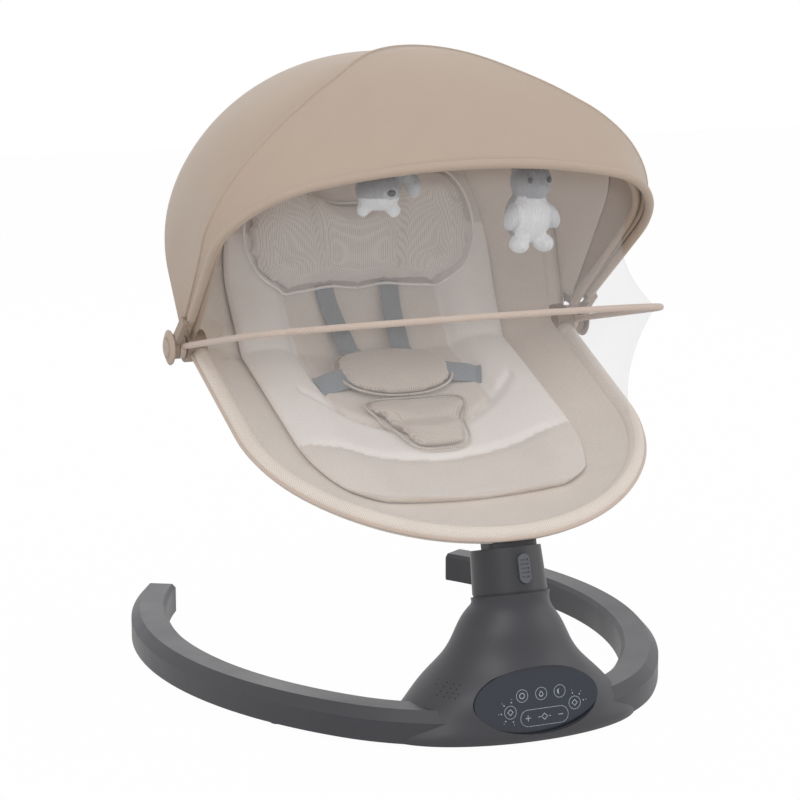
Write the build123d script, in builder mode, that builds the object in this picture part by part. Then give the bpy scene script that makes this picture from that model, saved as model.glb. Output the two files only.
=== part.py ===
import os
from math import atan2, cos, radians, sin, sqrt, tan

from build123d import *

os.makedirs("parts", exist_ok=True)

# Sizes in mm. X is across, the front is -Y, the floor is Z = 0.
FOOT_H = 5            # rubber feet under the floor ring
RING_Y = 65.53        # centre of the floor ring
SIDE_R = 419.5        # radius of the long side arcs of the ring
SIDE_X = SIDE_R - 244  # their centres, across the middle line
NOSE_R = 195          # radius of the ring's front arc
NOSE_Y = RING_Y - 140
SEAM_ANGLE = 38.6     # where the tubes meet the housing
JOIN_ANGLE = 51.4     # where front arc and side arc meet
TUBE_END = 28.2       # side arc angle where the tube stops
CAP_END = 31.8
TUBE_WALL = 3

BELL_Y = RING_Y - 290
# Height, half width and half depth of the bell's sections.
BELL = [(5, 132, 68), (20, 120, 71.5), (40, 100, 72), (55, 85, 68), (72, 68, 57), (88, 58, 50),
        (108, 47.5, 44)]
BELL_TOP_R = 38
SHELL = 4
PANEL_Y, PANEL_Z, PANEL_LEAN = BELL_Y - 56.5, 42, 9.9
PANEL_HALF_W, PANEL_HALF_H, PANEL_T = 65, 31.5, 3

COLUMN_Y, COLUMN_Z = RING_Y - 289, 130
LEAN = 15             # the swing axis leans back
POST_R, BEARING_R, BEARING_T = 9, 17, 12
COLLAR_LOW_R, COLLAR_TOP_R, COLLAR_LOW, COLLAR_TOP = 36, 34, 2, 44

HUB_Y, HUB_Z = RING_Y + 14, 337   # the cross axis of visor and net hoop
HUB_R, HUB_IN, HUB_OUT = 16, 199, 219
PIN_R, PIN_END = 5, 234
RIM_R = 8             # seat frame tube
RIM_X = 206.6
FOOT_ANGLE, FOOT_LEG, FOOT_CORNER, FOOT_APEX = -25.5, 155, 165, 341
BACK_ANGLE = 112

# The canopy's bow outline: half width at the axis, flare, leg, corner radius, reach.
CANOPY = (222, 4, 165, 110, 301)
STRIP_T, VISOR_T, HOOD_GAP, HOOD_T = 3, 2, 5, 2
VISOR_FRONT, VISOR_REAR = 41.5, 82
HOOD_FRONT, HOOD_REAR = 46.5, 115
HOOD_BOW_ANGLE, HOOD_BOW_R = 44.4, 3
HOOP_ANGLE, HOOP_R = 11.5, 3.2
HOOP = (222.5, 0, 170, 100, 297)

SLING_T, SLING_IN, CUSHION_GAP, CUSHION_T = 3, 9.5, 1, 24
SAG = [(14, 8), (60, 26), (130, 45), (225, 57), (320, 68), (395, 86), (450, 70), (510, 34), (562, 9)]


def fan(angle):
    """Plane through the hub axis, its local y pointing out at the angle above straight ahead."""
    a = radians(angle)
    return Plane(origin=(0, HUB_Y, HUB_Z), x_dir=(1, 0, 0), z_dir=(0, -sin(a), -cos(a)))


def inset(outline, amount):
    half, flare, leg, corner, apex = outline
    return (half - amount, flare, leg, corner - amount, apex - amount)


def bow_centres(outline):
    half, flare, leg, corner, apex = outline
    f = radians(flare)
    end = (half + leg * tan(f), leg)
    c1 = (end[0] - corner * cos(f), end[1] + corner * sin(f))
    m = apex - c1[1] - corner
    k = (c1[0] ** 2 - m ** 2) / (2 * m)
    return end, c1, c1[1] - k, corner + m + k, atan2(k, c1[0])


def bow_half(outline, r):
    """Half width of a bow outline at the reach r."""
    half, flare, leg, corner, apex = outline
    end, c1, c2, top_r, turn = bow_centres(outline)
    if r <= leg:
        return half + r * tan(radians(flare))
    if r <= c1[1] + corner * sin(turn):
        return c1[0] + sqrt(max(corner ** 2 - (r - c1[1]) ** 2, 0))
    return sqrt(max(top_r ** 2 - (r - c2) ** 2, 0))


def bow(outline, start):
    """Leg, corner, top, corner and leg of a bow, drawn from the right foot to the left foot."""
    half, flare, leg, corner, apex = outline
    end, c1, c2, top_r, turn = bow_centres(outline)
    f = radians(flare)
    foot = (half + start * tan(f), start)
    mid = ((turn - f) / 2)
    knee = (c1[0] + corner * cos(mid), c1[1] + corner * sin(mid))
    join = (c1[0] + corner * cos(turn), c1[1] + corner * sin(turn))
    Line(foot, end)
    ThreePointArc(end, knee, join)
    ThreePointArc(join, (0, apex), (-join[0], join[1]))
    ThreePointArc((-join[0], join[1]), (-knee[0], knee[1]), (-end[0], end[1]))
    Line((-end[0], end[1]), (-foot[0], foot[1]))


def bow_band(outline, thick, start):
    """Closed outline of a bent strip, its outer side on the bow outline."""
    inner = inset(outline, thick)
    f = tan(radians(outline[1]))
    bow(outline, start)
    bow(inner, start)
    for side in (-1, 1):
        Line((side * (outline[0] + start * f), start), (side * (inner[0] + start * f), start))


def tube_section():
    """Moulded ring section, local x pointing outwards and y up."""
    Polyline((-19, 0), (19, 0), (19, 21), (10, 31), (-15, 31), (-19, 27), close=True)


HUB_AXIS = Axis((0, HUB_Y, HUB_Z), (-1, 0, 0))
SWING = Plane(origin=(0, COLUMN_Y, COLUMN_Z), x_dir=(1, 0, 0),
              z_dir=(0, sin(radians(LEAN)), cos(radians(LEAN))))
BOTTOM = (Align.CENTER, Align.CENTER, Align.MIN)
FLOOR_CUT = Plane(origin=(0, 0, FOOT_H + 3))


def ring_nose(angle):
    a = radians(angle)
    return (NOSE_R * sin(a), NOSE_Y - NOSE_R * cos(a), FOOT_H)


def ring_side(angle):
    a = radians(angle)
    return (SIDE_X - SIDE_R * cos(a), RING_Y + SIDE_R * sin(a), FOOT_H)


NOSE_ARC = [ring_nose(-a) for a in (SEAM_ANGLE, (SEAM_ANGLE + JOIN_ANGLE) / 2, JOIN_ANGLE)]
SEAM = Plane(origin=ring_nose(-SEAM_ANGLE),
             x_dir=(-sin(radians(SEAM_ANGLE)), -cos(radians(SEAM_ANGLE)), 0),
             z_dir=(-cos(radians(SEAM_ANGLE)), sin(radians(SEAM_ANGLE)), 0))
CAP_PLANE = Plane(origin=ring_side(TUBE_END), x_dir=(-cos(radians(TUBE_END)), sin(radians(TUBE_END)), 0),
                  z_dir=(sin(radians(TUBE_END)), cos(radians(TUBE_END)), 0))
PANEL = Plane(origin=(0, PANEL_Y, PANEL_Z), x_dir=(1, 0, 0),
              z_dir=(0, -cos(radians(PANEL_LEAN)), sin(radians(PANEL_LEAN))))

# Base: two hollow tubes curve back from the housing and carry end caps.
with BuildPart() as left_base_tube:
    with BuildLine() as left_path:
        ThreePointArc(*NOSE_ARC)
        ThreePointArc(ring_nose(-JOIN_ANGLE), ring_side(-5), ring_side(TUBE_END))
    with BuildSketch(SEAM):
        with BuildLine():
            tube_section()
        make_face()
        offset(amount=-TUBE_WALL, mode=Mode.SUBTRACT)
    sweep()
left_base_tube.part.label = "left_base_tube"
export_step(left_base_tube.part, "parts/left_base_tube.step")

with BuildPart() as right_base_tube:
    add(mirror(left_base_tube.part, about=Plane.YZ))
right_base_tube.part.label = "right_base_tube"
export_step(right_base_tube.part, "parts/right_base_tube.step")

with BuildPart() as left_end_cap:
    with BuildSketch(CAP_PLANE):
        with BuildLine():
            tube_section()
        make_face()
    revolve(axis=Axis((SIDE_X, RING_Y, 0), (0, 0, -1)), revolution_arc=CAP_END - TUBE_END)
    chamfer(left_end_cap.faces().sort_by(Axis.Y)[-1].edges(), 2)
left_end_cap.part.label = "left_end_cap"
export_step(left_end_cap.part, "parts/left_end_cap.step")

with BuildPart() as right_end_cap:
    add(mirror(left_end_cap.part, about=Plane.YZ))
right_end_cap.part.label = "right_end_cap"
export_step(right_end_cap.part, "parts/right_end_cap.step")

# Room of the tubes, kept clear by the housing and its cover.
with BuildPart() as tube_room:
    with BuildLine() as room_path:
        ThreePointArc(*NOSE_ARC)
    with BuildSketch(SEAM):
        with BuildLine():
            tube_section()
        make_face()
    sweep()
    mirror(about=Plane.YZ)

# Screw bosses under the bell: place from its centre, and the height where they run into its wall.
SCREW_SPOTS = [(-78, 0, 57), (78, 0, 57), (-45, 47, 60), (45, 47, 60)]

# Housing: a bell over the ring's front arc, hollow, with a pocket for the panel.
with BuildPart() as cavity:
    for height, rx, ry in [(2, 130, 67)] + BELL:
        with BuildSketch(Plane(origin=(0, BELL_Y, height))):
            Ellipse(rx - SHELL, ry - SHELL)
    loft()
    split(bisect_by=PANEL.offset(-PANEL_T - SHELL), keep=Keep.BOTTOM)

with BuildPart() as base_housing:
    for height, rx, ry in BELL:
        with BuildSketch(Plane(origin=(0, BELL_Y, height))):
            Ellipse(rx, ry)
    with BuildSketch(SWING):
        Circle(BELL_TOP_R)
    loft()
    with BuildSketch(SEAM):
        with BuildLine():
            tube_section()
        make_face()
    revolve(axis=Axis((0, NOSE_Y, 0), (0, 0, 1)), revolution_arc=2 * SEAM_ANGLE)
    add(cavity.part, mode=Mode.SUBTRACT)
    add(tube_room.part, mode=Mode.SUBTRACT)
    for x, y, top in SCREW_SPOTS:
        with Locations((x, BELL_Y + y, FOOT_H + 3)):
            Cylinder(5, top - FOOT_H - 3, align=BOTTOM)
            Cylinder(1.8, 20, align=BOTTOM, mode=Mode.SUBTRACT)
    with BuildSketch(PANEL.offset(-PANEL_T)):
        Ellipse(PANEL_HALF_W, PANEL_HALF_H)
    extrude(amount=40, mode=Mode.SUBTRACT)
    with BuildSketch(Plane(origin=(0, BELL_Y, FOOT_H - 1))):
        Ellipse(125, 64.5)
    extrude(amount=4, mode=Mode.SUBTRACT)
    with Locations(SWING.location):
        with Locations((0, 0, -48)):
            Cylinder(BEARING_R + 0.03, 40, align=BOTTOM, mode=Mode.SUBTRACT)
            Cylinder(POST_R + 2, 60, align=BOTTOM, mode=Mode.SUBTRACT)
    with Locations(Location((34, BELL_Y + 40, 19), (-90, 0, 0))):
        Cylinder(6.05, 60, align=BOTTOM, mode=Mode.SUBTRACT)
base_housing.part.label = "base_housing"
export_step(base_housing.part, "parts/base_housing.step")

with BuildPart() as base_cover:
    with BuildSketch(Plane(origin=(0, BELL_Y, FOOT_H))):
        Ellipse(124.7, 64.2)
        with Locations(*[(x, y) for x, y, top in SCREW_SPOTS]):
            Circle(1.9, mode=Mode.SUBTRACT)
    extrude(amount=3)
    add(tube_room.part, mode=Mode.SUBTRACT)
base_cover.part.label = "base_cover"
export_step(base_cover.part, "parts/base_cover.step")

with BuildPart() as cover_screws:
    for x, y, top in SCREW_SPOTS:
        with Locations((x, BELL_Y + y, FOOT_H - 1.5)):
            Cylinder(3.5, 1.5, align=BOTTOM)
            Cylinder(1.75, 20, align=BOTTOM)
cover_screws.part.label = "cover_screws"
export_step(cover_screws.part, "parts/cover_screws.step")

with BuildPart() as control_panel:
    with BuildSketch(PANEL.offset(-PANEL_T)):
        Ellipse(PANEL_HALF_W - 0.3, PANEL_HALF_H - 0.3)
    extrude(amount=PANEL_T)
control_panel.part.label = "control_panel"
export_step(control_panel.part, "parts/control_panel.step")

with BuildPart() as control_board:
    with BuildSketch(PANEL.offset(-PANEL_T - SHELL)):
        with Locations((0, 1)):
            Rectangle(84, 34)
    extrude(amount=-1.6)
control_board.part.label = "control_board"
export_step(control_board.part, "parts/control_board.step")

SPEAKER_X, SPEAKER_Y = -57, BELL_Y + 14
with BuildPart() as speaker:
    with Locations((SPEAKER_X, SPEAKER_Y, FOOT_H + 3)):
        Cylinder(17, 5, align=BOTTOM)
    with Locations((SPEAKER_X, SPEAKER_Y, FOOT_H + 8)):
        Cone(17, 9, 10, align=BOTTOM)
speaker.part.label = "speaker"
export_step(speaker.part, "parts/speaker.step")

INLET_REAR = BELL_Y + 71.5 * sqrt(1 - (34 / 121) ** 2)
with BuildPart() as power_inlet:
    with Locations(Location((34, INLET_REAR - 14, 19), (-90, 0, 0))):
        Cylinder(6, 15, align=BOTTOM)
        with Locations((0, 0, 5)):
            Cylinder(3.2, 12, align=BOTTOM, mode=Mode.SUBTRACT)
            Cylinder(1, 9, align=BOTTOM)
power_inlet.part.label = "power_inlet"
export_step(power_inlet.part, "parts/power_inlet.step")

FOOT_SPOTS = [ring_nose(-21)[:2], ring_side(-27)[:2], ring_side(24)[:2]]
with BuildPart() as rubber_feet:
    for x, y in FOOT_SPOTS:
        for side in (-1, 1):
            with Locations((side * x, y, 0)):
                Cylinder(9, FOOT_H, align=BOTTOM)
rubber_feet.part.label = "rubber_feet"
export_step(rubber_feet.part, "parts/rubber_feet.step")

# Drive: a post in two bearings, with a magnet arm over a coil.
with BuildPart() as bearing_pedestal:
    with Locations(SWING.location):
        with Locations((0, 0, -140)):
            Cylinder(22, 68, align=BOTTOM)
        with Locations((0, 0, -84)):
            Cylinder(BEARING_R + 0.03, 20, align=BOTTOM, mode=Mode.SUBTRACT)
        with Locations((0, 0, -87)):
            Cylinder(POST_R + 2, 20, align=BOTTOM, mode=Mode.SUBTRACT)
    split(bisect_by=FLOOR_CUT, keep=Keep.TOP)
bearing_pedestal.part.label = "bearing_pedestal"
export_step(bearing_pedestal.part, "parts/bearing_pedestal.step")

with BuildPart() as lower_bearing:
    with Locations(SWING.location):
        with Locations((0, 0, -84)):
            Cylinder(BEARING_R, BEARING_T, align=BOTTOM)
            Cylinder(POST_R + 0.03, BEARING_T, align=BOTTOM, mode=Mode.SUBTRACT)
lower_bearing.part.label = "lower_bearing"
export_step(lower_bearing.part, "parts/lower_bearing.step")

with BuildPart() as upper_bearing:
    with Locations(SWING.location):
        with Locations((0, 0, -8 - BEARING_T)):
            Cylinder(BEARING_R, BEARING_T, align=BOTTOM)
            Cylinder(POST_R + 0.03, BEARING_T, align=BOTTOM, mode=Mode.SUBTRACT)
upper_bearing.part.label = "upper_bearing"
export_step(upper_bearing.part, "parts/upper_bearing.step")

with BuildPart() as swing_post:
    with Locations(SWING.location):
        with Locations((0, 0, -84)):
            Cylinder(POST_R, 122, align=BOTTOM)
swing_post.part.label = "swing_post"
export_step(swing_post.part, "parts/swing_post.step")

with BuildPart() as magnet_arm:
    with Locations(SWING.location):
        with Locations((0, 0, -60)):
            Cylinder(15, 7, align=BOTTOM)
            with Locations((0, 25, 0)):
                Box(18, 50, 7, align=BOTTOM)
            Cylinder(POST_R + 0.02, 7, align=BOTTOM, mode=Mode.SUBTRACT)
magnet_arm.part.label = "magnet_arm"
export_step(magnet_arm.part, "parts/magnet_arm.step")

with BuildPart() as drive_magnet:
    with Locations(SWING.location):
        with Locations((0, 42, -69)):
            Box(16, 14, 9, align=BOTTOM)
drive_magnet.part.label = "drive_magnet"
export_step(drive_magnet.part, "parts/drive_magnet.step")

with BuildPart() as drive_coil:
    with Locations(SWING.location):
        with Locations((0, 42, -84)):
            Cylinder(15, 12, align=BOTTOM)
            Cylinder(6, 12, align=BOTTOM, mode=Mode.SUBTRACT)
drive_coil.part.label = "drive_coil"
export_step(drive_coil.part, "parts/drive_coil.step")

with BuildPart() as coil_bracket:
    with Locations(SWING.location):
        with Locations((0, 42, -134)):
            Cylinder(16, 50, align=BOTTOM)
            Cylinder(5.9, 61, align=BOTTOM)
    split(bisect_by=FLOOR_CUT, keep=Keep.TOP)
coil_bracket.part.label = "coil_bracket"
export_step(coil_bracket.part, "parts/coil_bracket.step")

# Collar: the seat's socket on the post, with a sprung release button in front.
BUTTON = Plane(origin=SWING.from_local_coords((0, -COLLAR_LOW_R, 23)), x_dir=(1, 0, 0), z_dir=-SWING.y_dir)
BUTTON_W, BUTTON_L, BUTTON_IN, BUTTON_OUT, POCKET = 12, 28, 10, 2, 18
with BuildPart() as seat_collar:
    with Locations(SWING.location):
        with Locations((0, 0, COLLAR_LOW)):
            Cone(COLLAR_LOW_R, COLLAR_TOP_R, COLLAR_TOP - COLLAR_LOW, align=BOTTOM)
            Cylinder(POST_R + 0.02, 38 - COLLAR_LOW, align=BOTTOM, mode=Mode.SUBTRACT)
    with BuildSketch(BUTTON.offset(-POCKET)):
        SlotOverall(BUTTON_L + 0.4, BUTTON_W + 0.4, rotation=90)
    extrude(amount=POCKET + 6, mode=Mode.SUBTRACT)
seat_collar.part.label = "seat_collar"
export_step(seat_collar.part, "parts/seat_collar.step")

with BuildPart() as release_button:
    with BuildSketch(BUTTON.offset(-BUTTON_IN)):
        SlotOverall(BUTTON_L, BUTTON_W, rotation=90)
    extrude(amount=BUTTON_IN + BUTTON_OUT)
    with BuildSketch(BUTTON.offset(BUTTON_OUT)):
        with GridLocations(0, 4, 1, 5):
            Rectangle(8.4, 1.6)
    extrude(amount=-1, mode=Mode.SUBTRACT)
release_button.part.label = "release_button"
export_step(release_button.part, "parts/release_button.step")

with BuildPart() as button_spring:
    with BuildSketch(BUTTON.offset(-POCKET)):
        Circle(4)
        Circle(3.2, mode=Mode.SUBTRACT)
    extrude(amount=POCKET - BUTTON_IN)
button_spring.part.label = "button_spring"
export_step(button_spring.part, "parts/button_spring.step")

# Seat frame: a foot tube and a back tube meet in the two hubs.
FOOT = (RIM_X, 0, FOOT_LEG, FOOT_CORNER, FOOT_APEX)
BACK = (RIM_X, 3, 80, 160, 281)
with BuildPart() as foot_frame:
    with BuildLine(fan(FOOT_ANGLE)) as foot_path:
        bow(FOOT, 6)
    with BuildSketch(Plane(origin=foot_path.line @ 0, z_dir=foot_path.line % 0)):
        Circle(RIM_R)
        Circle(RIM_R - 1.5, mode=Mode.SUBTRACT)
    sweep()
foot_frame.part.label = "foot_frame"
export_step(foot_frame.part, "parts/foot_frame.step")

with BuildPart() as back_frame:
    with BuildLine(fan(BACK_ANGLE)) as back_path:
        bow(BACK, 6)
    with BuildSketch(Plane(origin=back_path.line @ 0, z_dir=back_path.line % 0)):
        Circle(RIM_R)
        Circle(RIM_R - 1.5, mode=Mode.SUBTRACT)
    sweep()
back_frame.part.label = "back_frame"
export_step(back_frame.part, "parts/back_frame.step")

with BuildPart() as frame_saddle:
    with Locations(SWING.location):
        with Locations((0, -8.5, COLLAR_TOP)):
            Box(50, 31, 10, align=BOTTOM)
    fillet(frame_saddle.edges().filter_by(Axis((0, 0, 0), SWING.z_dir)), 8)
    with BuildLine(fan(FOOT_ANGLE)) as saddle_path:
        bow(FOOT, 6)
    with BuildSketch(Plane(origin=saddle_path.line @ 0, z_dir=saddle_path.line % 0)):
        Circle(RIM_R + 0.1)
    sweep(mode=Mode.SUBTRACT)
frame_saddle.part.label = "frame_saddle"
export_step(frame_saddle.part, "parts/frame_saddle.step")

HOOD_BOW = inset(CANOPY, 10.5)
with BuildPart() as hood_bow:
    with BuildLine(fan(HOOD_BOW_ANGLE)) as hood_bow_path:
        bow(HOOD_BOW, 9)
    with BuildSketch(Plane(origin=hood_bow_path.line @ 0, z_dir=hood_bow_path.line % 0)):
        Circle(HOOD_BOW_R)
    sweep()
hood_bow.part.label = "hood_bow"
export_step(hood_bow.part, "parts/hood_bow.step")


def spoke(angle, outline, start):
    """Straight hole along a bow's right leg, for the hub sockets."""
    f = radians(outline[1])
    plane = fan(angle)
    foot = plane.from_local_coords((outline[0] + start * tan(f), start, 0))
    ahead = plane.from_local_coords((outline[0] + (start + 40) * tan(f), start + 40, 0))
    return Plane(origin=foot, z_dir=ahead - foot)


ACROSS = Plane(origin=(0, HUB_Y, HUB_Z), x_dir=(0, 1, 0), z_dir=(1, 0, 0))
with BuildPart() as right_hub:
    with BuildSketch(ACROSS.offset(HUB_IN)):
        Circle(HUB_R)
    extrude(amount=HUB_OUT - HUB_IN)
    with BuildSketch(ACROSS.offset(HUB_OUT)):
        Circle(PIN_R)
    extrude(amount=PIN_END - HUB_OUT)
    for angle, outline, radius, start in ((FOOT_ANGLE, FOOT, RIM_R, 6), (BACK_ANGLE, BACK, RIM_R, 6),
                                          (HOOD_BOW_ANGLE, HOOD_BOW, HOOD_BOW_R, 9)):
        with BuildSketch(spoke(angle, outline, start)):
            Circle(radius + 0.05)
        extrude(amount=40, mode=Mode.SUBTRACT)
right_hub.part.label = "right_hub"
export_step(right_hub.part, "parts/right_hub.step")

with BuildPart() as left_hub:
    add(mirror(right_hub.part, about=Plane.YZ))
left_hub.part.label = "left_hub"
export_step(left_hub.part, "parts/left_hub.step")

with BuildPart() as right_hub_cap:
    with BuildSketch(ACROSS.offset(PIN_END)):
        Circle(12)
    extrude(amount=4)
    fillet(right_hub_cap.faces().sort_by(Axis.X)[-1].edges(), 2.5)
right_hub_cap.part.label = "right_hub_cap"
export_step(right_hub_cap.part, "parts/right_hub_cap.step")

with BuildPart() as left_hub_cap:
    add(mirror(right_hub_cap.part, about=Plane.YZ))
left_hub_cap.part.label = "left_hub_cap"
export_step(left_hub_cap.part, "parts/left_hub_cap.step")

# Sling: sections across the seat, from the front lip up to the head end.
LIP = Vector(0, HUB_Y - FOOT_APEX * cos(radians(FOOT_ANGLE)), HUB_Z + FOOT_APEX * sin(radians(FOOT_ANGLE)))
HEAD = Vector(0, HUB_Y - BACK[4] * cos(radians(BACK_ANGLE)), HUB_Z + BACK[4] * sin(radians(BACK_ANGLE)))
SEAT_DIR = (HEAD - LIP).normalized()
SEAT_LEN = (HEAD - LIP).length
HUB_S = (Vector(0, HUB_Y, HUB_Z) - LIP).dot(SEAT_DIR)
DEEP = Vector(0, SEAT_DIR.Z, -SEAT_DIR.Y)
HUB_D = (Vector(0, HUB_Y, HUB_Z) - LIP).dot(DEEP)


def rim(s):
    """Half width and depth of the sling's edge at the distance s along the seat, inside the tubes."""
    if s <= HUB_S:
        return bow_half(inset(FOOT, SLING_IN), FOOT_APEX * (1 - s / HUB_S)), HUB_D * s / HUB_S
    up = (s - HUB_S) / (SEAT_LEN - HUB_S)
    return bow_half(inset(BACK, SLING_IN), BACK[4] * up), HUB_D * (1 - up)


def section(s):
    """Section plane across the seat, local y pointing down into the seat."""
    return Plane(origin=LIP + SEAT_DIR * s, x_dir=(1, 0, 0), z_dir=Vector(1, 0, 0).cross(DEEP))


def sag_at(s):
    for (a, ya), (b, yb) in zip(SAG, SAG[1:]):
        if s <= b:
            return ya + (yb - ya) * (s - a) / (b - a)
    return SAG[-1][1]


def depth(s, x):
    """Depth of the sling's outer side at the half width x."""
    w, d = rim(s)
    g = sag_at(s)
    r = (w * w + g * g) / (2 * g)
    return d + g - r + sqrt(r * r - x * x)


with BuildPart() as seat_sling:
    for s, g in SAG:
        w, d = rim(s)
        with BuildSketch(section(s)):
            with BuildLine():
                ThreePointArc((-w, d), (0, d + g), (w, d))
                Line((w, d), (w, d - SLING_T))
                ThreePointArc((w, d - SLING_T), (0, d + g - SLING_T), (-w, d - SLING_T))
                Line((-w, d - SLING_T), (-w, d))
            make_face()
    loft(ruled=True)
seat_sling.part.label = "seat_sling"
export_step(seat_sling.part, "parts/seat_sling.step")

CUSHION = [(60, 9), (130, 20), (225, CUSHION_T), (320, CUSHION_T), (395, CUSHION_T), (450, CUSHION_T),
           (510, 9)]
CUSHION_SHARE, CUSHION_EDGE = 0.72, 4
with BuildPart() as seat_cushion:
    for s, t in CUSHION:
        half = CUSHION_SHARE * rim(s)[0]
        edge = depth(s, half) - SLING_T - CUSHION_GAP
        low = depth(s, 0) - SLING_T - CUSHION_GAP
        with BuildSketch(section(s)):
            with BuildLine():
                ThreePointArc((-half, edge), (0, low), (half, edge))
                Line((half, edge), (half, edge - CUSHION_EDGE))
                ThreePointArc((half, edge - CUSHION_EDGE), (0, low - t), (-half, edge - CUSHION_EDGE))
                Line((-half, edge - CUSHION_EDGE), (-half, edge))
            make_face()
    loft(ruled=True)
seat_cushion.part.label = "seat_cushion"
export_step(seat_cushion.part, "parts/seat_cushion.step")


def cushion_top(s, x):
    """Point on the cushion's upper side."""
    for (a, ta), (b, tb) in zip(CUSHION, CUSHION[1:]):
        if s <= b:
            t = ta + (tb - ta) * (s - a) / (b - a)
            break
    half = CUSHION_SHARE * rim(s)[0]
    edge = depth(s, half) - SLING_T - CUSHION_GAP - CUSHION_EDGE
    low = depth(s, 0) - SLING_T - CUSHION_GAP - t
    return LIP + SEAT_DIR * s + DEEP * (low + (edge - low) * (x / half) ** 2) + Vector(x, 0, 0)


def pad_plane(s, x, lift):
    """Plane lying on the cushion, local y up the seat and z away from it."""
    up = (cushion_top(s + 12, x) - cushion_top(s - 12, x)).normalized()
    across = (cushion_top(s, x + 12) - cushion_top(s, x - 12)).normalized()
    out = across.cross(up).normalized()
    return Plane(origin=cushion_top(s, x) + out * lift, x_dir=across, z_dir=out)


SOFT_TIP = 0.15
SOFT_TURNS = (90, 67.5, 45, 22.5, 0, -22.5, -45, -67.5, -90)


def soft(plane, a, c):
    """Swelling round form on the plane, a its radius across and c its half thickness, with flat tips."""
    tip = a * SOFT_TIP
    oval = [(tip + (a - tip) * cos(radians(t)), c * sin(radians(t))) for t in SOFT_TURNS]
    with BuildSketch(Plane(origin=plane.origin, x_dir=plane.x_dir, z_dir=-plane.y_dir)) as half:
        with BuildLine():
            Polyline((tip, -c), (0, -c), (0, c), (tip, c))
            for first in range(0, len(oval) - 2, 2):
                ThreePointArc(*oval[first:first + 3])
        make_face()
    revolve(half.sketch, axis=Axis(plane.origin, plane.z_dir))


# Padding and harness on the cushion.
with BuildPart() as right_pillow_wing:
    soft(pad_plane(434, 84, 20), 51, 17)
right_pillow_wing.part.label = "right_pillow_wing"
export_step(right_pillow_wing.part, "parts/right_pillow_wing.step")

with BuildPart() as left_pillow_wing:
    add(mirror(right_pillow_wing.part, about=Plane.YZ, mode=Mode.PRIVATE))
left_pillow_wing.part.label = "left_pillow_wing"
export_step(left_pillow_wing.part, "parts/left_pillow_wing.step")

with BuildPart() as head_pillow:
    soft(pad_plane(430, 0, 14), 33, 11)
head_pillow.part.label = "head_pillow"
export_step(head_pillow.part, "parts/head_pillow.step")

with BuildPart() as tummy_pad:
    soft(pad_plane(272, 0, 13), 54, 10)
tummy_pad.part.label = "tummy_pad"
export_step(tummy_pad.part, "parts/tummy_pad.step")

with BuildPart() as crotch_pad:
    soft(pad_plane(174, 0, 14.5), 43, 8)
crotch_pad.part.label = "crotch_pad"
export_step(crotch_pad.part, "parts/crotch_pad.step")


def strap(x, s_low, s_high):
    """Side outline of a strap lying on the cushion."""
    steps = [s_low + (s_high - s_low) * i / 5 for i in range(6)]
    spots = [pad_plane(t, x, 1.4) for t in steps]
    tops = [pad_plane(t, x, 3.4) for t in steps]
    pts = [(p.origin.Y, p.origin.Z) for p in spots] + [(p.origin.Y, p.origin.Z) for p in reversed(tops)]
    Polyline(*pts, close=True)


with BuildPart() as right_shoulder_strap:
    with BuildSketch(Plane.YZ.offset(25)):
        with BuildLine():
            strap(43, 316, 392)
        make_face()
    extrude(amount=18)
    add(tummy_pad.part, mode=Mode.SUBTRACT)
right_shoulder_strap.part.label = "right_shoulder_strap"
export_step(right_shoulder_strap.part, "parts/right_shoulder_strap.step")

with BuildPart() as left_shoulder_strap:
    add(mirror(right_shoulder_strap.part, about=Plane.YZ))
left_shoulder_strap.part.label = "left_shoulder_strap"
export_step(left_shoulder_strap.part, "parts/left_shoulder_strap.step")

with BuildPart() as right_waist_strap:
    with BuildSketch(pad_plane(268, 84, 3)):
        Rectangle(60, 19)
    extrude(amount=2)
    add(tummy_pad.part, mode=Mode.SUBTRACT)
right_waist_strap.part.label = "right_waist_strap"
export_step(right_waist_strap.part, "parts/right_waist_strap.step")

with BuildPart() as left_waist_strap:
    add(mirror(right_waist_strap.part, about=Plane.YZ))
left_waist_strap.part.label = "left_waist_strap"
export_step(left_waist_strap.part, "parts/left_waist_strap.step")

# Hood: cloth fixed to the seat, from the hood bow's outline back to the rounder back tube.
HOOD_STEPS = 8
HOOD_ENDS = (inset(CANOPY, HOOD_GAP), inset(BACK, -RIM_R - HOOD_T - 1.4))
with BuildPart() as hood:
    for step in range(HOOD_STEPS + 1):
        share = step / HOOD_STEPS
        with BuildSketch(fan(HOOD_FRONT + (HOOD_REAR - HOOD_FRONT) * share)):
            with BuildLine():
                bow_band([a + (b - a) * share for a, b in zip(*HOOD_ENDS)], HOOD_T, 26)
            make_face()
    loft(ruled=True)
hood.part.label = "hood"
export_step(hood.part, "parts/hood.step")

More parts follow.
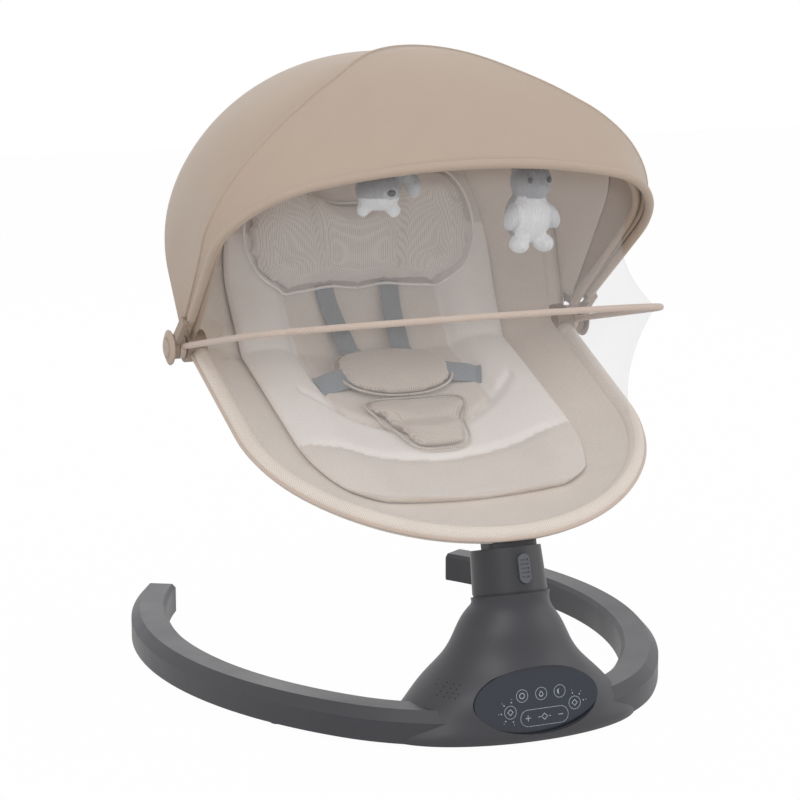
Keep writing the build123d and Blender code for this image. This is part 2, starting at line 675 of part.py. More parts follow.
# Visor: a bent strip on the hub pins carries a crescent of cloth over the hood.
STRIP_W, EYE_R, EYE_IN, EYE_OUT = 10, 12, 227, PIN_END - 1
with BuildPart() as visor_bow:
    with BuildSketch(fan(VISOR_FRONT)):
        with BuildLine():
            bow_band(CANOPY, STRIP_T, 40)
        make_face()
    extrude(amount=STRIP_W / 2, both=True)
    for side in (-1, 1):
        with Locations(fan(VISOR_FRONT).location):
            with Locations((side * (EYE_IN + EYE_OUT) / 2, 25, 0)):
                Box(EYE_OUT - EYE_IN, 50, STRIP_W)
            with Locations((side * (EYE_OUT + 222) / 2, 45, 0)):
                Box(EYE_OUT - 222, 10, STRIP_W)
        with BuildSketch(ACROSS.offset(EYE_IN if side > 0 else -EYE_OUT)):
            Circle(EYE_R)
        extrude(amount=EYE_OUT - EYE_IN)
        with BuildSketch(ACROSS.offset(EYE_IN - 1 if side > 0 else -EYE_OUT - 1)):
            Circle(PIN_R + 0.05)
        extrude(amount=EYE_OUT - EYE_IN + 2, mode=Mode.SUBTRACT)
visor_bow.part.label = "visor_bow"
export_step(visor_bow.part, "parts/visor_bow.step")

VISOR_EDGE = [(-38, 458), (-54, 480), (-64, 500), (-72, 521), (-75, 545), (-66, 575), (-46, 597),
              (-18, 616), (20, 634)]
with BuildPart() as visor_cloth:
    with BuildSketch(fan(VISOR_FRONT)):
        with BuildLine():
            bow_band(CANOPY, VISOR_T, 140)
        make_face()
    revolve(axis=HUB_AXIS, revolution_arc=VISOR_REAR - VISOR_FRONT)
    with Locations(fan(VISOR_FRONT).location):
        Box(700, 700, STRIP_W, mode=Mode.SUBTRACT)
    with BuildSketch(Plane.YZ):
        with BuildLine():
            Spline(*VISOR_EDGE)
            Polyline(VISOR_EDGE[-1], (20, 680), (300, 680), (300, 400), (-70, 400), (-70, 440), VISOR_EDGE[0])
        make_face()
    extrude(amount=300, both=True, mode=Mode.SUBTRACT)
visor_cloth.part.label = "visor_cloth"
export_step(visor_cloth.part, "parts/visor_cloth.step")

# Net hoop on the same pins, and the two nets that it spreads.
HOOP_EYE_IN, HOOP_EYE_OUT = 220, 226
with BuildPart() as net_hoop:
    with BuildLine(fan(HOOP_ANGLE)) as hoop_path:
        bow(HOOP, 10)
    with BuildSketch(Plane(origin=hoop_path.line @ 0, z_dir=hoop_path.line % 0)):
        Circle(HOOP_R)
    sweep()
    for side in (-1, 1):
        with BuildSketch(ACROSS.offset(HOOP_EYE_IN if side > 0 else -HOOP_EYE_OUT)):
            Circle(EYE_R)
        extrude(amount=HOOP_EYE_OUT - HOOP_EYE_IN)
        with BuildSketch(ACROSS.offset(HOOP_EYE_IN - 2 if side > 0 else -HOOP_EYE_OUT - 2)):
            Circle(PIN_R + 0.05)
        extrude(amount=HOOP_EYE_OUT - HOOP_EYE_IN + 4, mode=Mode.SUBTRACT)
net_hoop.part.label = "net_hoop"
export_step(net_hoop.part, "parts/net_hoop.step")

NET_T, NET_START = 0.8, 50
NET_EDGE = (216, 0, 170, 94, 290.5)
with BuildPart() as upper_net:
    for angle, outline in ((43, (207, 4, 165, 95, 286)), (27.5, (190, 1, 166, 84, 272)), (12, NET_EDGE)):
        with BuildSketch(fan(angle)):
            with BuildLine():
                bow_band(outline, NET_T, NET_START)
            make_face()
    loft()
upper_net.part.label = "upper_net"
export_step(upper_net.part, "parts/upper_net.step")

with BuildPart() as lower_net:
    for angle, outline in ((11, NET_EDGE), (-6, (189, 0, 160, 118, 288)), (-23.5, (195.5, 0, 155, 154, 329))):
        with BuildSketch(fan(angle)):
            with BuildLine():
                bow_band(outline, NET_T, NET_START)
            make_face()
    loft()
lower_net.part.label = "lower_net"
export_step(lower_net.part, "parts/lower_net.step")

# Two soft toys hang on ribbons from loops inside the hood's front edge.
TOY_Y, TOY_LOOP_Z = -98, 550
RIGHT_TOY, LEFT_TOY = 82, -78


def upright(x, y, z, turn=0):
    return Plane(origin=(x, y, z), x_dir=(cos(radians(turn)), 0, sin(radians(turn))),
                 z_dir=(-sin(radians(turn)), 0, cos(radians(turn))))


with BuildPart() as right_toy_head:
    soft(upright(RIGHT_TOY, TOY_Y, 508), 21, 20)
right_toy_head.part.label = "right_toy_head"
export_step(right_toy_head.part, "parts/right_toy_head.step")

with BuildPart() as right_toy_body:
    soft(upright(RIGHT_TOY - 3, TOY_Y + 1, 474), 18, 23)
    add(right_toy_head.part, mode=Mode.SUBTRACT)
right_toy_body.part.label = "right_toy_body"
export_step(right_toy_body.part, "parts/right_toy_body.step")

with BuildPart() as right_toy_limbs:
    for dx, z, a, c in ((-29.4, 476, 7, 11), (23.4, 476, 7, 11), (-15.5, 444.6, 8, 8), (9.5, 444.6, 8, 8)):
        soft(upright(RIGHT_TOY + dx, TOY_Y + 1, z), a, c)
right_toy_limbs.part.label = "right_toy_limbs"
export_step(right_toy_limbs.part, "parts/right_toy_limbs.step")

with BuildPart() as right_toy_ribbon:
    with Locations((RIGHT_TOY, TOY_Y, 522)):
        Box(7, 1.4, TOY_LOOP_Z - 522, align=BOTTOM)
    add(right_toy_head.part, mode=Mode.SUBTRACT)
right_toy_ribbon.part.label = "right_toy_ribbon"
export_step(right_toy_ribbon.part, "parts/right_toy_ribbon.step")

with BuildPart() as left_toy_head:
    soft(upright(LEFT_TOY - 4, TOY_Y - 1, 506), 22, 21)
left_toy_head.part.label = "left_toy_head"
export_step(left_toy_head.part, "parts/left_toy_head.step")

with BuildPart() as left_toy_body:
    soft(upright(LEFT_TOY + 16, TOY_Y + 2, 523, -60), 14, 22)
    add(left_toy_head.part, mode=Mode.SUBTRACT)
left_toy_body.part.label = "left_toy_body"
export_step(left_toy_body.part, "parts/left_toy_body.step")

with BuildPart() as left_toy_limbs:
    for dx, dy, z, a, c in ((-27, -1, 484, 7, 8.5), (15, -1, 481.3, 7, 8.5), (35, 2, 506.5, 6.5, 12)):
        soft(upright(LEFT_TOY + dx, TOY_Y + dy, z), a, c)
left_toy_limbs.part.label = "left_toy_limbs"
export_step(left_toy_limbs.part, "parts/left_toy_limbs.step")

with BuildPart() as left_toy_ribbon:
    with Locations((LEFT_TOY + 10, TOY_Y, 532)):
        Box(7, 1.4, TOY_LOOP_Z - 532, align=BOTTOM)
    add(left_toy_body.part, mode=Mode.SUBTRACT)
left_toy_ribbon.part.label = "left_toy_ribbon"
export_step(left_toy_ribbon.part, "parts/left_toy_ribbon.step")
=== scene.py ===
from math import atan2, cos, exp, hypot, pi, radians, sin, sqrt, tan

import bmesh
import bpy
from mathutils import Matrix, Vector


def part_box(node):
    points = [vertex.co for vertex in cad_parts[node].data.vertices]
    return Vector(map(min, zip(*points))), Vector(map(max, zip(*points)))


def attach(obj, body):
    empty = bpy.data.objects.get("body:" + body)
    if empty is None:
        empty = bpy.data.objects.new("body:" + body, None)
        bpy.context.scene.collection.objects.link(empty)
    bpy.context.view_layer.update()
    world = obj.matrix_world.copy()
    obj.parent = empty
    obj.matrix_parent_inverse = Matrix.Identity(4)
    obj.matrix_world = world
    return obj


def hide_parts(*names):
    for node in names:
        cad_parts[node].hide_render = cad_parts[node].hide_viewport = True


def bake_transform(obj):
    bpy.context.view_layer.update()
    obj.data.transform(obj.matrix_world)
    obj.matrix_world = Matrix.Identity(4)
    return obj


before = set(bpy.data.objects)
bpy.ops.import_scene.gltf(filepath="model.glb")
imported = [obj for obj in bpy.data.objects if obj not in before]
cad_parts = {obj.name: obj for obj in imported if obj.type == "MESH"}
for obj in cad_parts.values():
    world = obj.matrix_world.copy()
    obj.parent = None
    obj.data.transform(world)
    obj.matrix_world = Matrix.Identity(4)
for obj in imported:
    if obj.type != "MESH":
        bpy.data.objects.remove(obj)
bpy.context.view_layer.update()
scene = bpy.context.scene

# The studio: a pale floor in soft light, with the camera in front, to the left and a little above.
# Nothing here belongs to the swing.
scene.view_settings.view_transform = "Standard"
AIM = Vector((0.014, 0.0655, 0.2665))
CAMERA_TURN, CAMERA_RISE, CAMERA_REACH = radians(-24), radians(10.7), 2.6
CAMERA_LENS, CAMERA_SENSOR = 111.6, 36
camera = bpy.data.objects.new("camera", bpy.data.cameras.new("camera"))
camera.data.lens, camera.data.sensor_width = CAMERA_LENS, CAMERA_SENSOR
camera.location = AIM + CAMERA_REACH * Vector(
    (cos(CAMERA_RISE) * sin(CAMERA_TURN), -cos(CAMERA_RISE) * cos(CAMERA_TURN), sin(CAMERA_RISE)))
camera.rotation_euler = (AIM - camera.location).to_track_quat("-Z", "Y").to_euler()
scene.collection.objects.link(camera)
scene.camera = camera

for name, spot, size, power in (("key_light", (-1.5, -1.9, 2.3), 1.8, 30),
                                ("fill_light", (2.2, -1.2, 1.3), 2.0, 14),
                                ("rear_light", (0.6, 2.2, 2.0), 1.8, 18)):
    lamp = bpy.data.objects.new(name, bpy.data.lights.new(name, "AREA"))
    lamp.data.size, lamp.data.energy = size, power
    lamp.location = spot
    lamp.rotation_euler = (AIM - lamp.location).to_track_quat("-Z", "Y").to_euler()
    scene.collection.objects.link(lamp)


def add(tree, kind, options=None, feeds=None):
    """Adds a shader node, sets its options and feeds its inputs, a socket by a link and the rest by value."""
    node = tree.nodes.new("ShaderNode" + kind)
    for key, value in (options or {}).items():
        setattr(node, key, value)
    for key, value in (feeds or {}).items():
        if isinstance(value, bpy.types.NodeSocket):
            tree.links.new(value, node.inputs[key])
        else:
            node.inputs[key].default_value = value
    return node


def seen_rays(tree):
    """1 for rays that show the backdrop itself, in the view, in metal or through glass."""
    path = add(tree, "LightPath").outputs
    both = add(tree, "Math", {"operation": "MAXIMUM"}, {0: path["Is Camera Ray"], 1: path["Is Glossy Ray"]})
    return add(tree, "Math", {"operation": "MAXIMUM"},
               {0: both.outputs[0], 1: path["Is Transmission Ray"]}).outputs[0]


SKY_LIGHT = 0.55
world = bpy.data.worlds.new("studio")
world.use_nodes = True
scene.world = world
sky = world.node_tree
soft = add(sky, "Background", None, {"Color": (1, 1, 1, 1), "Strength": SKY_LIGHT})
white = add(sky, "Background", None, {"Color": (1, 1, 1, 1), "Strength": 1})
backdrop = add(sky, "MixShader", None, {0: seen_rays(sky), 1: soft.outputs[0], 2: white.outputs[0]})
sky.links.new(backdrop.outputs[0], sky.nodes["World Output"].inputs["Surface"])

FLOOR_HALF, FLOOR_DROP, FLOOR_GLOW = 6, -0.0004, 0.98
floor_mesh = bpy.data.meshes.new("floor")
floor_mesh.from_pydata([(-FLOOR_HALF, -FLOOR_HALF, FLOOR_DROP), (FLOOR_HALF, -FLOOR_HALF, FLOOR_DROP),
                        (FLOOR_HALF, FLOOR_HALF, FLOOR_DROP), (-FLOOR_HALF, FLOOR_HALF, FLOOR_DROP)],
                       [], [(0, 1, 2, 3)])
floor = bpy.data.objects.new("floor", floor_mesh)
scene.collection.objects.link(floor)
pale_floor = bpy.data.materials.new("pale_floor")
pale_floor.use_nodes = True
floor_tree = pale_floor.node_tree
matt = add(floor_tree, "BsdfDiffuse", None, {"Color": (0.8, 0.8, 0.8, 1)})
glow = add(floor_tree, "Emission", None, {"Color": (1, 1, 1, 1), "Strength": 1})
share = add(floor_tree, "Math", {"operation": "MULTIPLY"}, {0: seen_rays(floor_tree), 1: FLOOR_GLOW})
lit = add(floor_tree, "MixShader", None, {0: share.outputs[0], 1: matt.outputs[0], 2: glow.outputs[0]})
floor_tree.links.new(lit.outputs[0], floor_tree.nodes["Material Output"].inputs["Surface"])
floor_mesh.materials.append(pale_floor)


# Floor ring and housing: charcoal moulded plastic, a bell over the front of the ring with two hollow
# tubes curving back from it, end caps and six rubber feet. Its sheen is fine and even.
def srgb(red, green, blue):
    """A colour as a screen shows it, 0 to 255, in the values that a shader takes."""
    return tuple(((c / 255 + 0.055) / 1.055) ** 2.4 for c in (red, green, blue)) + (1,)


def node_group(name, given, made):
    """An empty shader group with its sockets, and the sockets to link inside it."""
    tree = bpy.data.node_groups.new(name, "ShaderNodeTree")
    for label, kind in given:
        tree.interface.new_socket(label, in_out="INPUT", socket_type="NodeSocket" + kind)
    for label, kind in made:
        tree.interface.new_socket(label, in_out="OUTPUT", socket_type="NodeSocket" + kind)
    return tree, tree.nodes.new("NodeGroupInput").outputs, tree.nodes.new("NodeGroupOutput").inputs


grain, grain_in, grain_out = node_group(
    "moulded_grain",
    [("Vector", "Vector"), ("Color", "Color"), ("Tone", "Float"), ("Gloss", "Float"), ("Grain", "Float")],
    [("Color", "Color"), ("Roughness", "Float"), ("Height", "Float")])
pits = add(grain, "TexNoise", None, {"Vector": grain_in["Vector"], "Scale": grain_in["Grain"], "Detail": 2})
drift = add(grain, "TexNoise", None, {"Vector": grain_in["Vector"], "Scale": 14, "Detail": 4})
swing = add(grain, "Math", {"operation": "SUBTRACT"}, {0: drift.outputs["Fac"], 1: 0.5})
level = add(grain, "Math", {"operation": "MULTIPLY_ADD"}, {0: swing.outputs[0], 1: grain_in["Tone"], 2: 1})
tinted = add(grain, "MixRGB", {"blend_type": "MULTIPLY"},
             {"Fac": 1, "Color1": grain_in["Color"], "Color2": level.outputs[0]})
rough = add(grain, "Math", {"operation": "MULTIPLY_ADD"}, {0: swing.outputs[0], 1: 0.3, 2: grain_in["Gloss"]})
grain.links.new(tinted.outputs[0], grain_out["Color"])
grain.links.new(rough.outputs[0], grain_out["Roughness"])
grain.links.new(pits.outputs["Fac"], grain_out["Height"])


def hard_finish(name, colour, gloss, bump=0.12, tone=0.3, pitch=1800, metal=0.0, coat=0.0):
    """Plastic, rubber, paint or metal with a fine grain in it."""
    finish = bpy.data.materials.new(name)
    finish.use_nodes = True
    tree = finish.node_tree
    shader = tree.nodes["Principled BSDF"]
    place = add(tree, "TexCoord").outputs["Object"]
    mix = add(tree, "Group", {"node_tree": grain},
              {"Vector": place, "Color": colour, "Tone": tone, "Gloss": gloss, "Grain": pitch})
    relief = add(tree, "Bump", None, {"Strength": bump, "Distance": 0.0003, "Height": mix.outputs["Height"]})
    tree.links.new(mix.outputs["Color"], shader.inputs["Base Color"])
    tree.links.new(mix.outputs["Roughness"], shader.inputs["Roughness"])
    tree.links.new(relief.outputs[0], shader.inputs["Normal"])
    shader.inputs["Metallic"].default_value = metal
    shader.inputs["Coat Weight"].default_value = coat
    return finish


def paint(finish, *names):
    """Gives solids of the frame a finish."""
    for name in names:
        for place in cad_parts[name].material_slots:
            place.material = finish


CHARCOAL = srgb(57, 57, 62)
charcoal = hard_finish("charcoal_moulding", CHARCOAL, 0.46)
paint(charcoal, "base_housing", "left_base_tube", "right_base_tube", "left_end_cap", "right_end_cap")
dark = hard_finish("dark_moulding", srgb(52, 52, 56), 0.5)
paint(dark, "base_cover", "power_inlet", "speaker", "coil_bracket", "bearing_pedestal", "magnet_arm")
rubber = hard_finish("foot_rubber", srgb(38, 38, 39), 0.8, 0.25, 0.4, 900)
paint(rubber, "rubber_feet")

# Inner works: a steel post in two bearings, a magnet arm over a wound coil, the circuit board and screws.
# They stay inside the housing, with plain working finishes.
steel = hard_finish("bright_steel", srgb(186, 188, 190), 0.3, 0.05, 0.2, 2600, 1.0)
paint(steel, "cover_screws", "lower_bearing", "upper_bearing", "swing_post", "button_spring")
paint(hard_finish("magnet_plating", srgb(150, 152, 156), 0.25, 0.04, 0.2, 2600, 1.0), "drive_magnet")
paint(hard_finish("coil_wire", srgb(184, 106, 60), 0.35, 0.3, 0.5, 700, 1.0), "drive_coil")
paint(hard_finish("circuit_board", srgb(28, 84, 54), 0.4, 0.1, 0.5, 500), "control_board")

# Control panel: a glossy dark oval set in the front of the housing, with touch signs printed on it.
# The prints are thin ink: rings, a long key with plus and minus, and rows of dots.
panel_gloss = hard_finish("panel_gloss", srgb(26, 33, 48), 0.2, 0.01, 0.1, 2600, 0.0, 0.2)
paint(panel_gloss, "control_panel")
PANEL_LEAN = radians(9.9)
panel_low, panel_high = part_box("control_panel")
PANEL_HALF_H = (panel_high.z - panel_low.z) / 2 / cos(PANEL_LEAN)
PANEL_OUT = Vector((0, -cos(PANEL_LEAN), sin(PANEL_LEAN)))
PANEL_UP = Vector((0, sin(PANEL_LEAN), cos(PANEL_LEAN)))
panel_foot = Vector((0, panel_low.y, panel_low.z + 0.003 * sin(PANEL_LEAN)))
PANEL_MID = panel_foot + PANEL_UP * PANEL_HALF_H
INK_T = 0.00018
signs = bmesh.new()


def sign_loop(points):
    return [signs.verts.new((x, y, 0)) for x, y in points]


def sign_plate(points):
    signs.faces.new(sign_loop(points))


def sign_band(outer, inner):
    a, b = sign_loop(outer), sign_loop(inner)
    for i in range(len(a)):
        k = (i + 1) % len(a)
        signs.faces.new((a[i], a[k], b[k], b[i]))


def round_points(x, y, radius, count=28):
    return [(x + radius * cos(2 * pi * i / count), y + radius * sin(2 * pi * i / count))
            for i in range(count)]


def bar(x, y, half_w, half_h):
    sign_plate([(x - half_w, y - half_h), (x + half_w, y - half_h),
                (x + half_w, y + half_h), (x - half_w, y + half_h)])


def key_points(x, y, half, radius, count=14):
    right = [(x + half - radius + radius * cos(a), y + radius * sin(a))
             for a in (-pi / 2 + pi * i / count for i in range(count + 1))]
    return right + [(2 * x - px, 2 * y - py) for px, py in right]


LINE, STROKE = 0.00042, 0.00035
KEY_Y, KEY_R, RING_X, DROP_X, MOON_X = 0.0045, 0.0061, -0.015, 0.005, 0.0245
SWAY_KEY, CLOCK_KEY, SIDE_KEY_R = (-0.0282, -0.0095), (0.0395, -0.0083), 0.0063
LONG_X, LONG_Y, LONG_HALF, LONG_R = 0.007, -0.0172, 0.0252, 0.008
PLUS_X, MINUS_X, PLUS_HALF, MINUS_HALF = -0.0102, 0.0241, 0.0027, 0.0025
for x, y, radius in ((RING_X, KEY_Y, KEY_R), (DROP_X, KEY_Y, KEY_R), (MOON_X, KEY_Y, KEY_R),
                     (*SWAY_KEY, SIDE_KEY_R), (*CLOCK_KEY, SIDE_KEY_R)):
    sign_band(round_points(x, y, radius), round_points(x, y, radius - LINE))
sign_band(key_points(LONG_X, LONG_Y, LONG_HALF, LONG_R),
          key_points(LONG_X, LONG_Y, LONG_HALF - LINE, LONG_R - LINE))
bar(PLUS_X, LONG_Y, PLUS_HALF, STROKE)
bar(PLUS_X, LONG_Y, STROKE, PLUS_HALF)
bar(MINUS_X, LONG_Y, MINUS_HALF, STROKE)
# Signs inside the rings: a timer ring, a drop, a moon, a sway mark and a clock.
sign_band(round_points(RING_X, KEY_Y, 0.0029, 18), round_points(RING_X, KEY_Y, 0.0022, 18))
DROP_Y, DROP_HOLE = 0.0042, 0.7
drop_turns = [2 * pi * i / 18 for i in range(18)]
drop = [(0.0021 * sin(a) * (1 - 0.35 * cos(a)), 0.0027 * cos(a)) for a in drop_turns]
sign_band(*([(DROP_X + x * size, DROP_Y + y * size) for x, y in drop] for size in (1, DROP_HOLE)))
moon_turns = [pi / 2 + pi * i / 12 for i in range(13)]
moon_out = [(MOON_X + 0.0027 * cos(a), KEY_Y + 0.0027 * sin(a)) for a in moon_turns]
moon_in = [(MOON_X + 0.0012 * cos(a), KEY_Y + 0.0027 * sin(a)) for a in moon_turns]
sign_plate(moon_out + moon_in[-2:0:-1])
for x, y in (SWAY_KEY, CLOCK_KEY):
    sign_band(round_points(x, y, 0.0032, 4), round_points(x, y, 0.0024, 4))
sign_band(round_points(LONG_X, LONG_Y, 0.0034, 4), round_points(LONG_X, LONG_Y, 0.0026, 4))
for side in (-1, 1):
    bar(LONG_X + side * 0.0055, LONG_Y, 0.0012, 0.0003)
for (x, y), first, last, count in ((SWAY_KEY, 80, 285, 5), (CLOCK_KEY, 100, 8, 3)):
    for i in range(count):
        turn = radians(first + (last - first) * i / (count - 1))
        for reach, size in ((0.0094, 0.0007), (0.0122, 0.0004)):
            sign_plate(round_points(x + reach * cos(turn), y + reach * sin(turn), size, 10))
bmesh.ops.recalc_face_normals(signs, faces=signs.faces)
sign_mesh = bpy.data.meshes.new("panel_signs")
signs.to_mesh(sign_mesh)
signs.free()
sign_frame = Matrix.Translation(PANEL_MID + PANEL_OUT * 0.00002)
sign_frame @= Matrix((Vector((1, 0, 0)), PANEL_UP, PANEL_OUT)).transposed().to_4x4()
sign_mesh.transform(sign_frame)


def fit(mesh, body, finish, slot, *covers, thick=0.0, round_up=0, side=0.0):
    """A finished piece: its material, thickness, smoothing, body and the solids it stands for. The slot is
    not used.
    """
    piece = bpy.data.objects.new(mesh.name, mesh)
    scene.collection.objects.link(piece)
    mesh.materials.append(finish)
    mesh.shade_smooth()
    if round_up:
        smooth = piece.modifiers.new("smooth", "SUBSURF")
        smooth.levels = smooth.render_levels = round_up
    if thick:
        wall = piece.modifiers.new("wall", "SOLIDIFY")
        wall.thickness, wall.offset = thick, side
    if body:
        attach(piece, body)
    if covers:
        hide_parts(*covers)
    return piece


ink = hard_finish("panel_ink", srgb(176, 184, 196), 0.45, 0.02, 0.1)
fit(sign_mesh, "base", ink, "panel_gloss", thick=INK_T, side=1.0).data.shade_flat()

# Speaker holes: rows of small dark perforations in the housing's left flank, over the speaker.
# They are round dimples laid on the moulded wall: flat discs coloured near black, painted shade for the
# holes' depth.
stud_tree = bpy.data.node_groups.new("perforations", "GeometryNodeTree")
for label, kind in (("Geometry", "Geometry"), ("Radius", "Float"), ("Finish", "Material")):
    stud_tree.interface.new_socket(label, in_out="INPUT", socket_type="NodeSocket" + kind)
stud_tree.interface.new_socket("Geometry", in_out="OUTPUT", socket_type="NodeSocketGeometry")
stud_in = stud_tree.nodes.new("NodeGroupInput").outputs
stud_out = stud_tree.nodes.new("NodeGroupOutput").inputs


def grow(kind, feeds=None, **options):
    """Adds a geometry node to the perforation tree and feeds its inputs."""
    node = stud_tree.nodes.new(kind)
    for key, value in options.items():
        setattr(node, key, value)
    for key, value in (feeds or {}).items():
        if isinstance(value, bpy.types.NodeSocket):
            stud_tree.links.new(value, node.inputs[key])
        else:
            node.inputs[key].default_value = value
    return node.outputs


hole_disc = grow("GeometryNodeMeshCircle", {"Vertices": 10, "Radius": stud_in["Radius"]}, fill_type="NGON")
facing = grow("GeometryNodeInputNamedAttribute", {"Name": "facing"}, data_type="FLOAT_VECTOR")
turned = grow("FunctionNodeAlignRotationToVector", {"Vector": facing["Attribute"]}, axis="Z")
dotted = grow("GeometryNodeInstanceOnPoints", {"Points": stud_in["Geometry"], "Instance": hole_disc["Mesh"],
                                               "Rotation": turned["Rotation"]})
real = grow("GeometryNodeRealizeInstances", {"Geometry": dotted["Instances"]})
inked = grow("GeometryNodeSetMaterial", {"Geometry": real["Geometry"], "Material": stud_in["Finish"]})
stud_tree.links.new(inked["Geometry"], stud_out["Geometry"])


def studs(name, spots, facings, radius, finish):
    """Round dimples at the spots, each facing out of its surface, as one plain mesh."""
    mesh = bpy.data.meshes.new(name + "_spots")
    mesh.from_pydata(spots, [], [])
    layer = mesh.attributes.new("facing", "FLOAT_VECTOR", "POINT")
    layer.data.foreach_set("vector", [c for f in facings for c in f])
    holder = bpy.data.objects.new(name + "_spots", mesh)
    scene.collection.objects.link(holder)
    step = holder.modifiers.new("perforate", "NODES")
    step.node_group = stud_tree
    keys = {s.name: s.identifier for s in stud_tree.interface.items_tree if s.in_out == "INPUT"}
    step[keys["Radius"]], step[keys["Finish"]] = radius, finish
    ready = holder.evaluated_get(bpy.context.evaluated_depsgraph_get())
    made = bpy.data.meshes.new_from_object(ready)
    made.name = name
    bpy.data.objects.remove(holder)
    made.materials.clear()
    return made


HOLE_R, HOLE_STEP = 0.0007, 0.0036
SPEAKER_X, SPEAKER_Z = -0.0875, 0.0475
# Near-black disc colour: painted shade standing for the depth of the holes.
hole_shade = hard_finish("hole_shadow", srgb(16, 16, 17), 0.9, 0.05)
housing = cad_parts["base_housing"]
hole_spots, hole_facings = [], []
for row in range(4):
    for column in range(4):
        across = SPEAKER_X + HOLE_STEP * (column + 0.5 * (row % 2)) + 0.5 * HOLE_STEP * row
        start = Vector((across, -0.4, SPEAKER_Z + HOLE_STEP * row))
        met, spot, out, _ = housing.ray_cast(start, Vector((0, 1, 0)))
        if met:
            hole_spots.append(spot + out * 0.00012)
            hole_facings.append(out)
if hole_spots:
    hole_mesh = studs("speaker_holes", hole_spots, hole_facings, HOLE_R, hole_shade)
    fit(hole_mesh, "base", hole_shade, "dark_plastic")

# Seat collar and release button: the seat's socket on the swing post, in dark plastic, with a ribbed
# sprung button in front that lets the seat lift off. A thin skirt under it hides the running gap.
paint(hard_finish("collar_moulding", srgb(46, 46, 49), 0.42), "seat_collar", "frame_saddle")
SWING_SPOT, SWING_LEAN = Vector((0, -0.22347, 0.130)), radians(15)
SKIRT_R, SKIRT_T, SKIRT_RISE = 0.0352, 0.0018, 0.0011
skirt_form = bmesh.new()
bmesh.ops.create_cone(skirt_form, cap_ends=True, segments=72, radius1=SKIRT_R, radius2=SKIRT_R, depth=SKIRT_T,
                      matrix=Matrix.Translation(SWING_SPOT) @ Matrix.Rotation(-SWING_LEAN, 4, "X")
                      @ Matrix.Translation((0, 0, SKIRT_RISE)))
skirt_mesh = bpy.data.meshes.new("collar_skirt")
skirt_form.to_mesh(skirt_mesh)
skirt_form.free()
fit(skirt_mesh, "seat", dark, "dark_plastic").data.shade_flat()
paint(hard_finish("button_moulding", srgb(84, 86, 92), 0.25, 0.05, 0.2, 1800, 0.0, 0.3), "release_button")

# Seat frame: painted steel foot and back tubes meet in two plastic hubs, whose pins carry visor and hoop.
# Cloth sleeves cover the tubes, with a corded edge round the foot tube.
paint(hard_finish("frame_paint", srgb(172, 156, 141), 0.4), "foot_frame", "back_frame", "hood_bow")
hub_plastic = hard_finish("hub_moulding", srgb(166, 148, 132), 0.5)
paint(hub_plastic, "left_hub", "right_hub", "left_hub_cap", "right_hub_cap")
HUB_Y, HUB_Z = 0.07953, 0.337
CANOPY = (0.222, 4, 0.165, 0.110, 0.301)
FOOT_BOW, FOOT_ANGLE = (0.2066, 0, 0.155, 0.165, 0.341), -25.5
BACK_ANGLE = 112


def inset(outline, amount):
    """A bow outline, half width, flare, leg, corner radius and reach, drawn in by an amount."""
    half, flare, leg, corner, apex = outline
    return half - amount, flare, leg, corner - amount, apex - amount


def bow_shape(outline):
    """Leg end, corner centre, top centre height, top radius and the angle where corner and top meet."""
    half, flare, leg, corner, apex = outline
    f = radians(flare)
    end = (half + leg * tan(f), leg)
    c1 = (end[0] - corner * cos(f), end[1] + corner * sin(f))
    rise = apex - c1[1] - corner
    drop_back = (c1[0] ** 2 - rise ** 2) / (2 * rise)
    return end, c1, c1[1] - drop_back, corner + rise + drop_back, atan2(drop_back, c1[0])


def bow_half(outline, reach):
    """Half width of a bow outline at a reach from the hub axis."""
    half, flare, leg, corner, apex = outline
    end, c1, c2, top, turn = bow_shape(outline)
    if reach <= leg:
        return half + reach * tan(radians(flare))
    if reach <= c1[1] + corner * sin(turn):
        return c1[0] + sqrt(max(corner ** 2 - (reach - c1[1]) ** 2, 0))
    return sqrt(max(top ** 2 - (reach - c2) ** 2, 0))


def bow_points(outline, start, count):
    """Evenly spaced points (across, reach) along a bow, from its right foot to its left foot."""
    half, flare, leg, corner, apex = outline
    end, c1, c2, top, turn = bow_shape(outline)
    f = radians(flare)
    foot = (half + start * tan(f), start)
    leg_run = hypot(end[0] - foot[0], end[1] - foot[1])
    corner_run, top_run = corner * (turn + f), top * (pi / 2 - turn)
    whole = leg_run + corner_run + top_run
    right = []
    for i in range(count // 2 + 1):
        run = whole * i / (count // 2)
        if run <= leg_run:
            t = run / leg_run
            right.append((foot[0] + (end[0] - foot[0]) * t, foot[1] + (end[1] - foot[1]) * t))
        elif run <= leg_run + corner_run:
            a = (run - leg_run) / corner - f
            right.append((c1[0] + corner * cos(a), c1[1] + corner * sin(a)))
        else:
            a = turn + (run - leg_run - corner_run) / top
            right.append((top * cos(a), c2 + top * sin(a)))
    return right + [(-x, r) for x, r in reversed(right[:-1])]


def fan(across, reach, angle):
    """A place at a reach from the hub axis and an angle above straight ahead."""
    a = radians(angle)
    return Vector((across, HUB_Y - reach * cos(a), HUB_Z + reach * sin(a)))


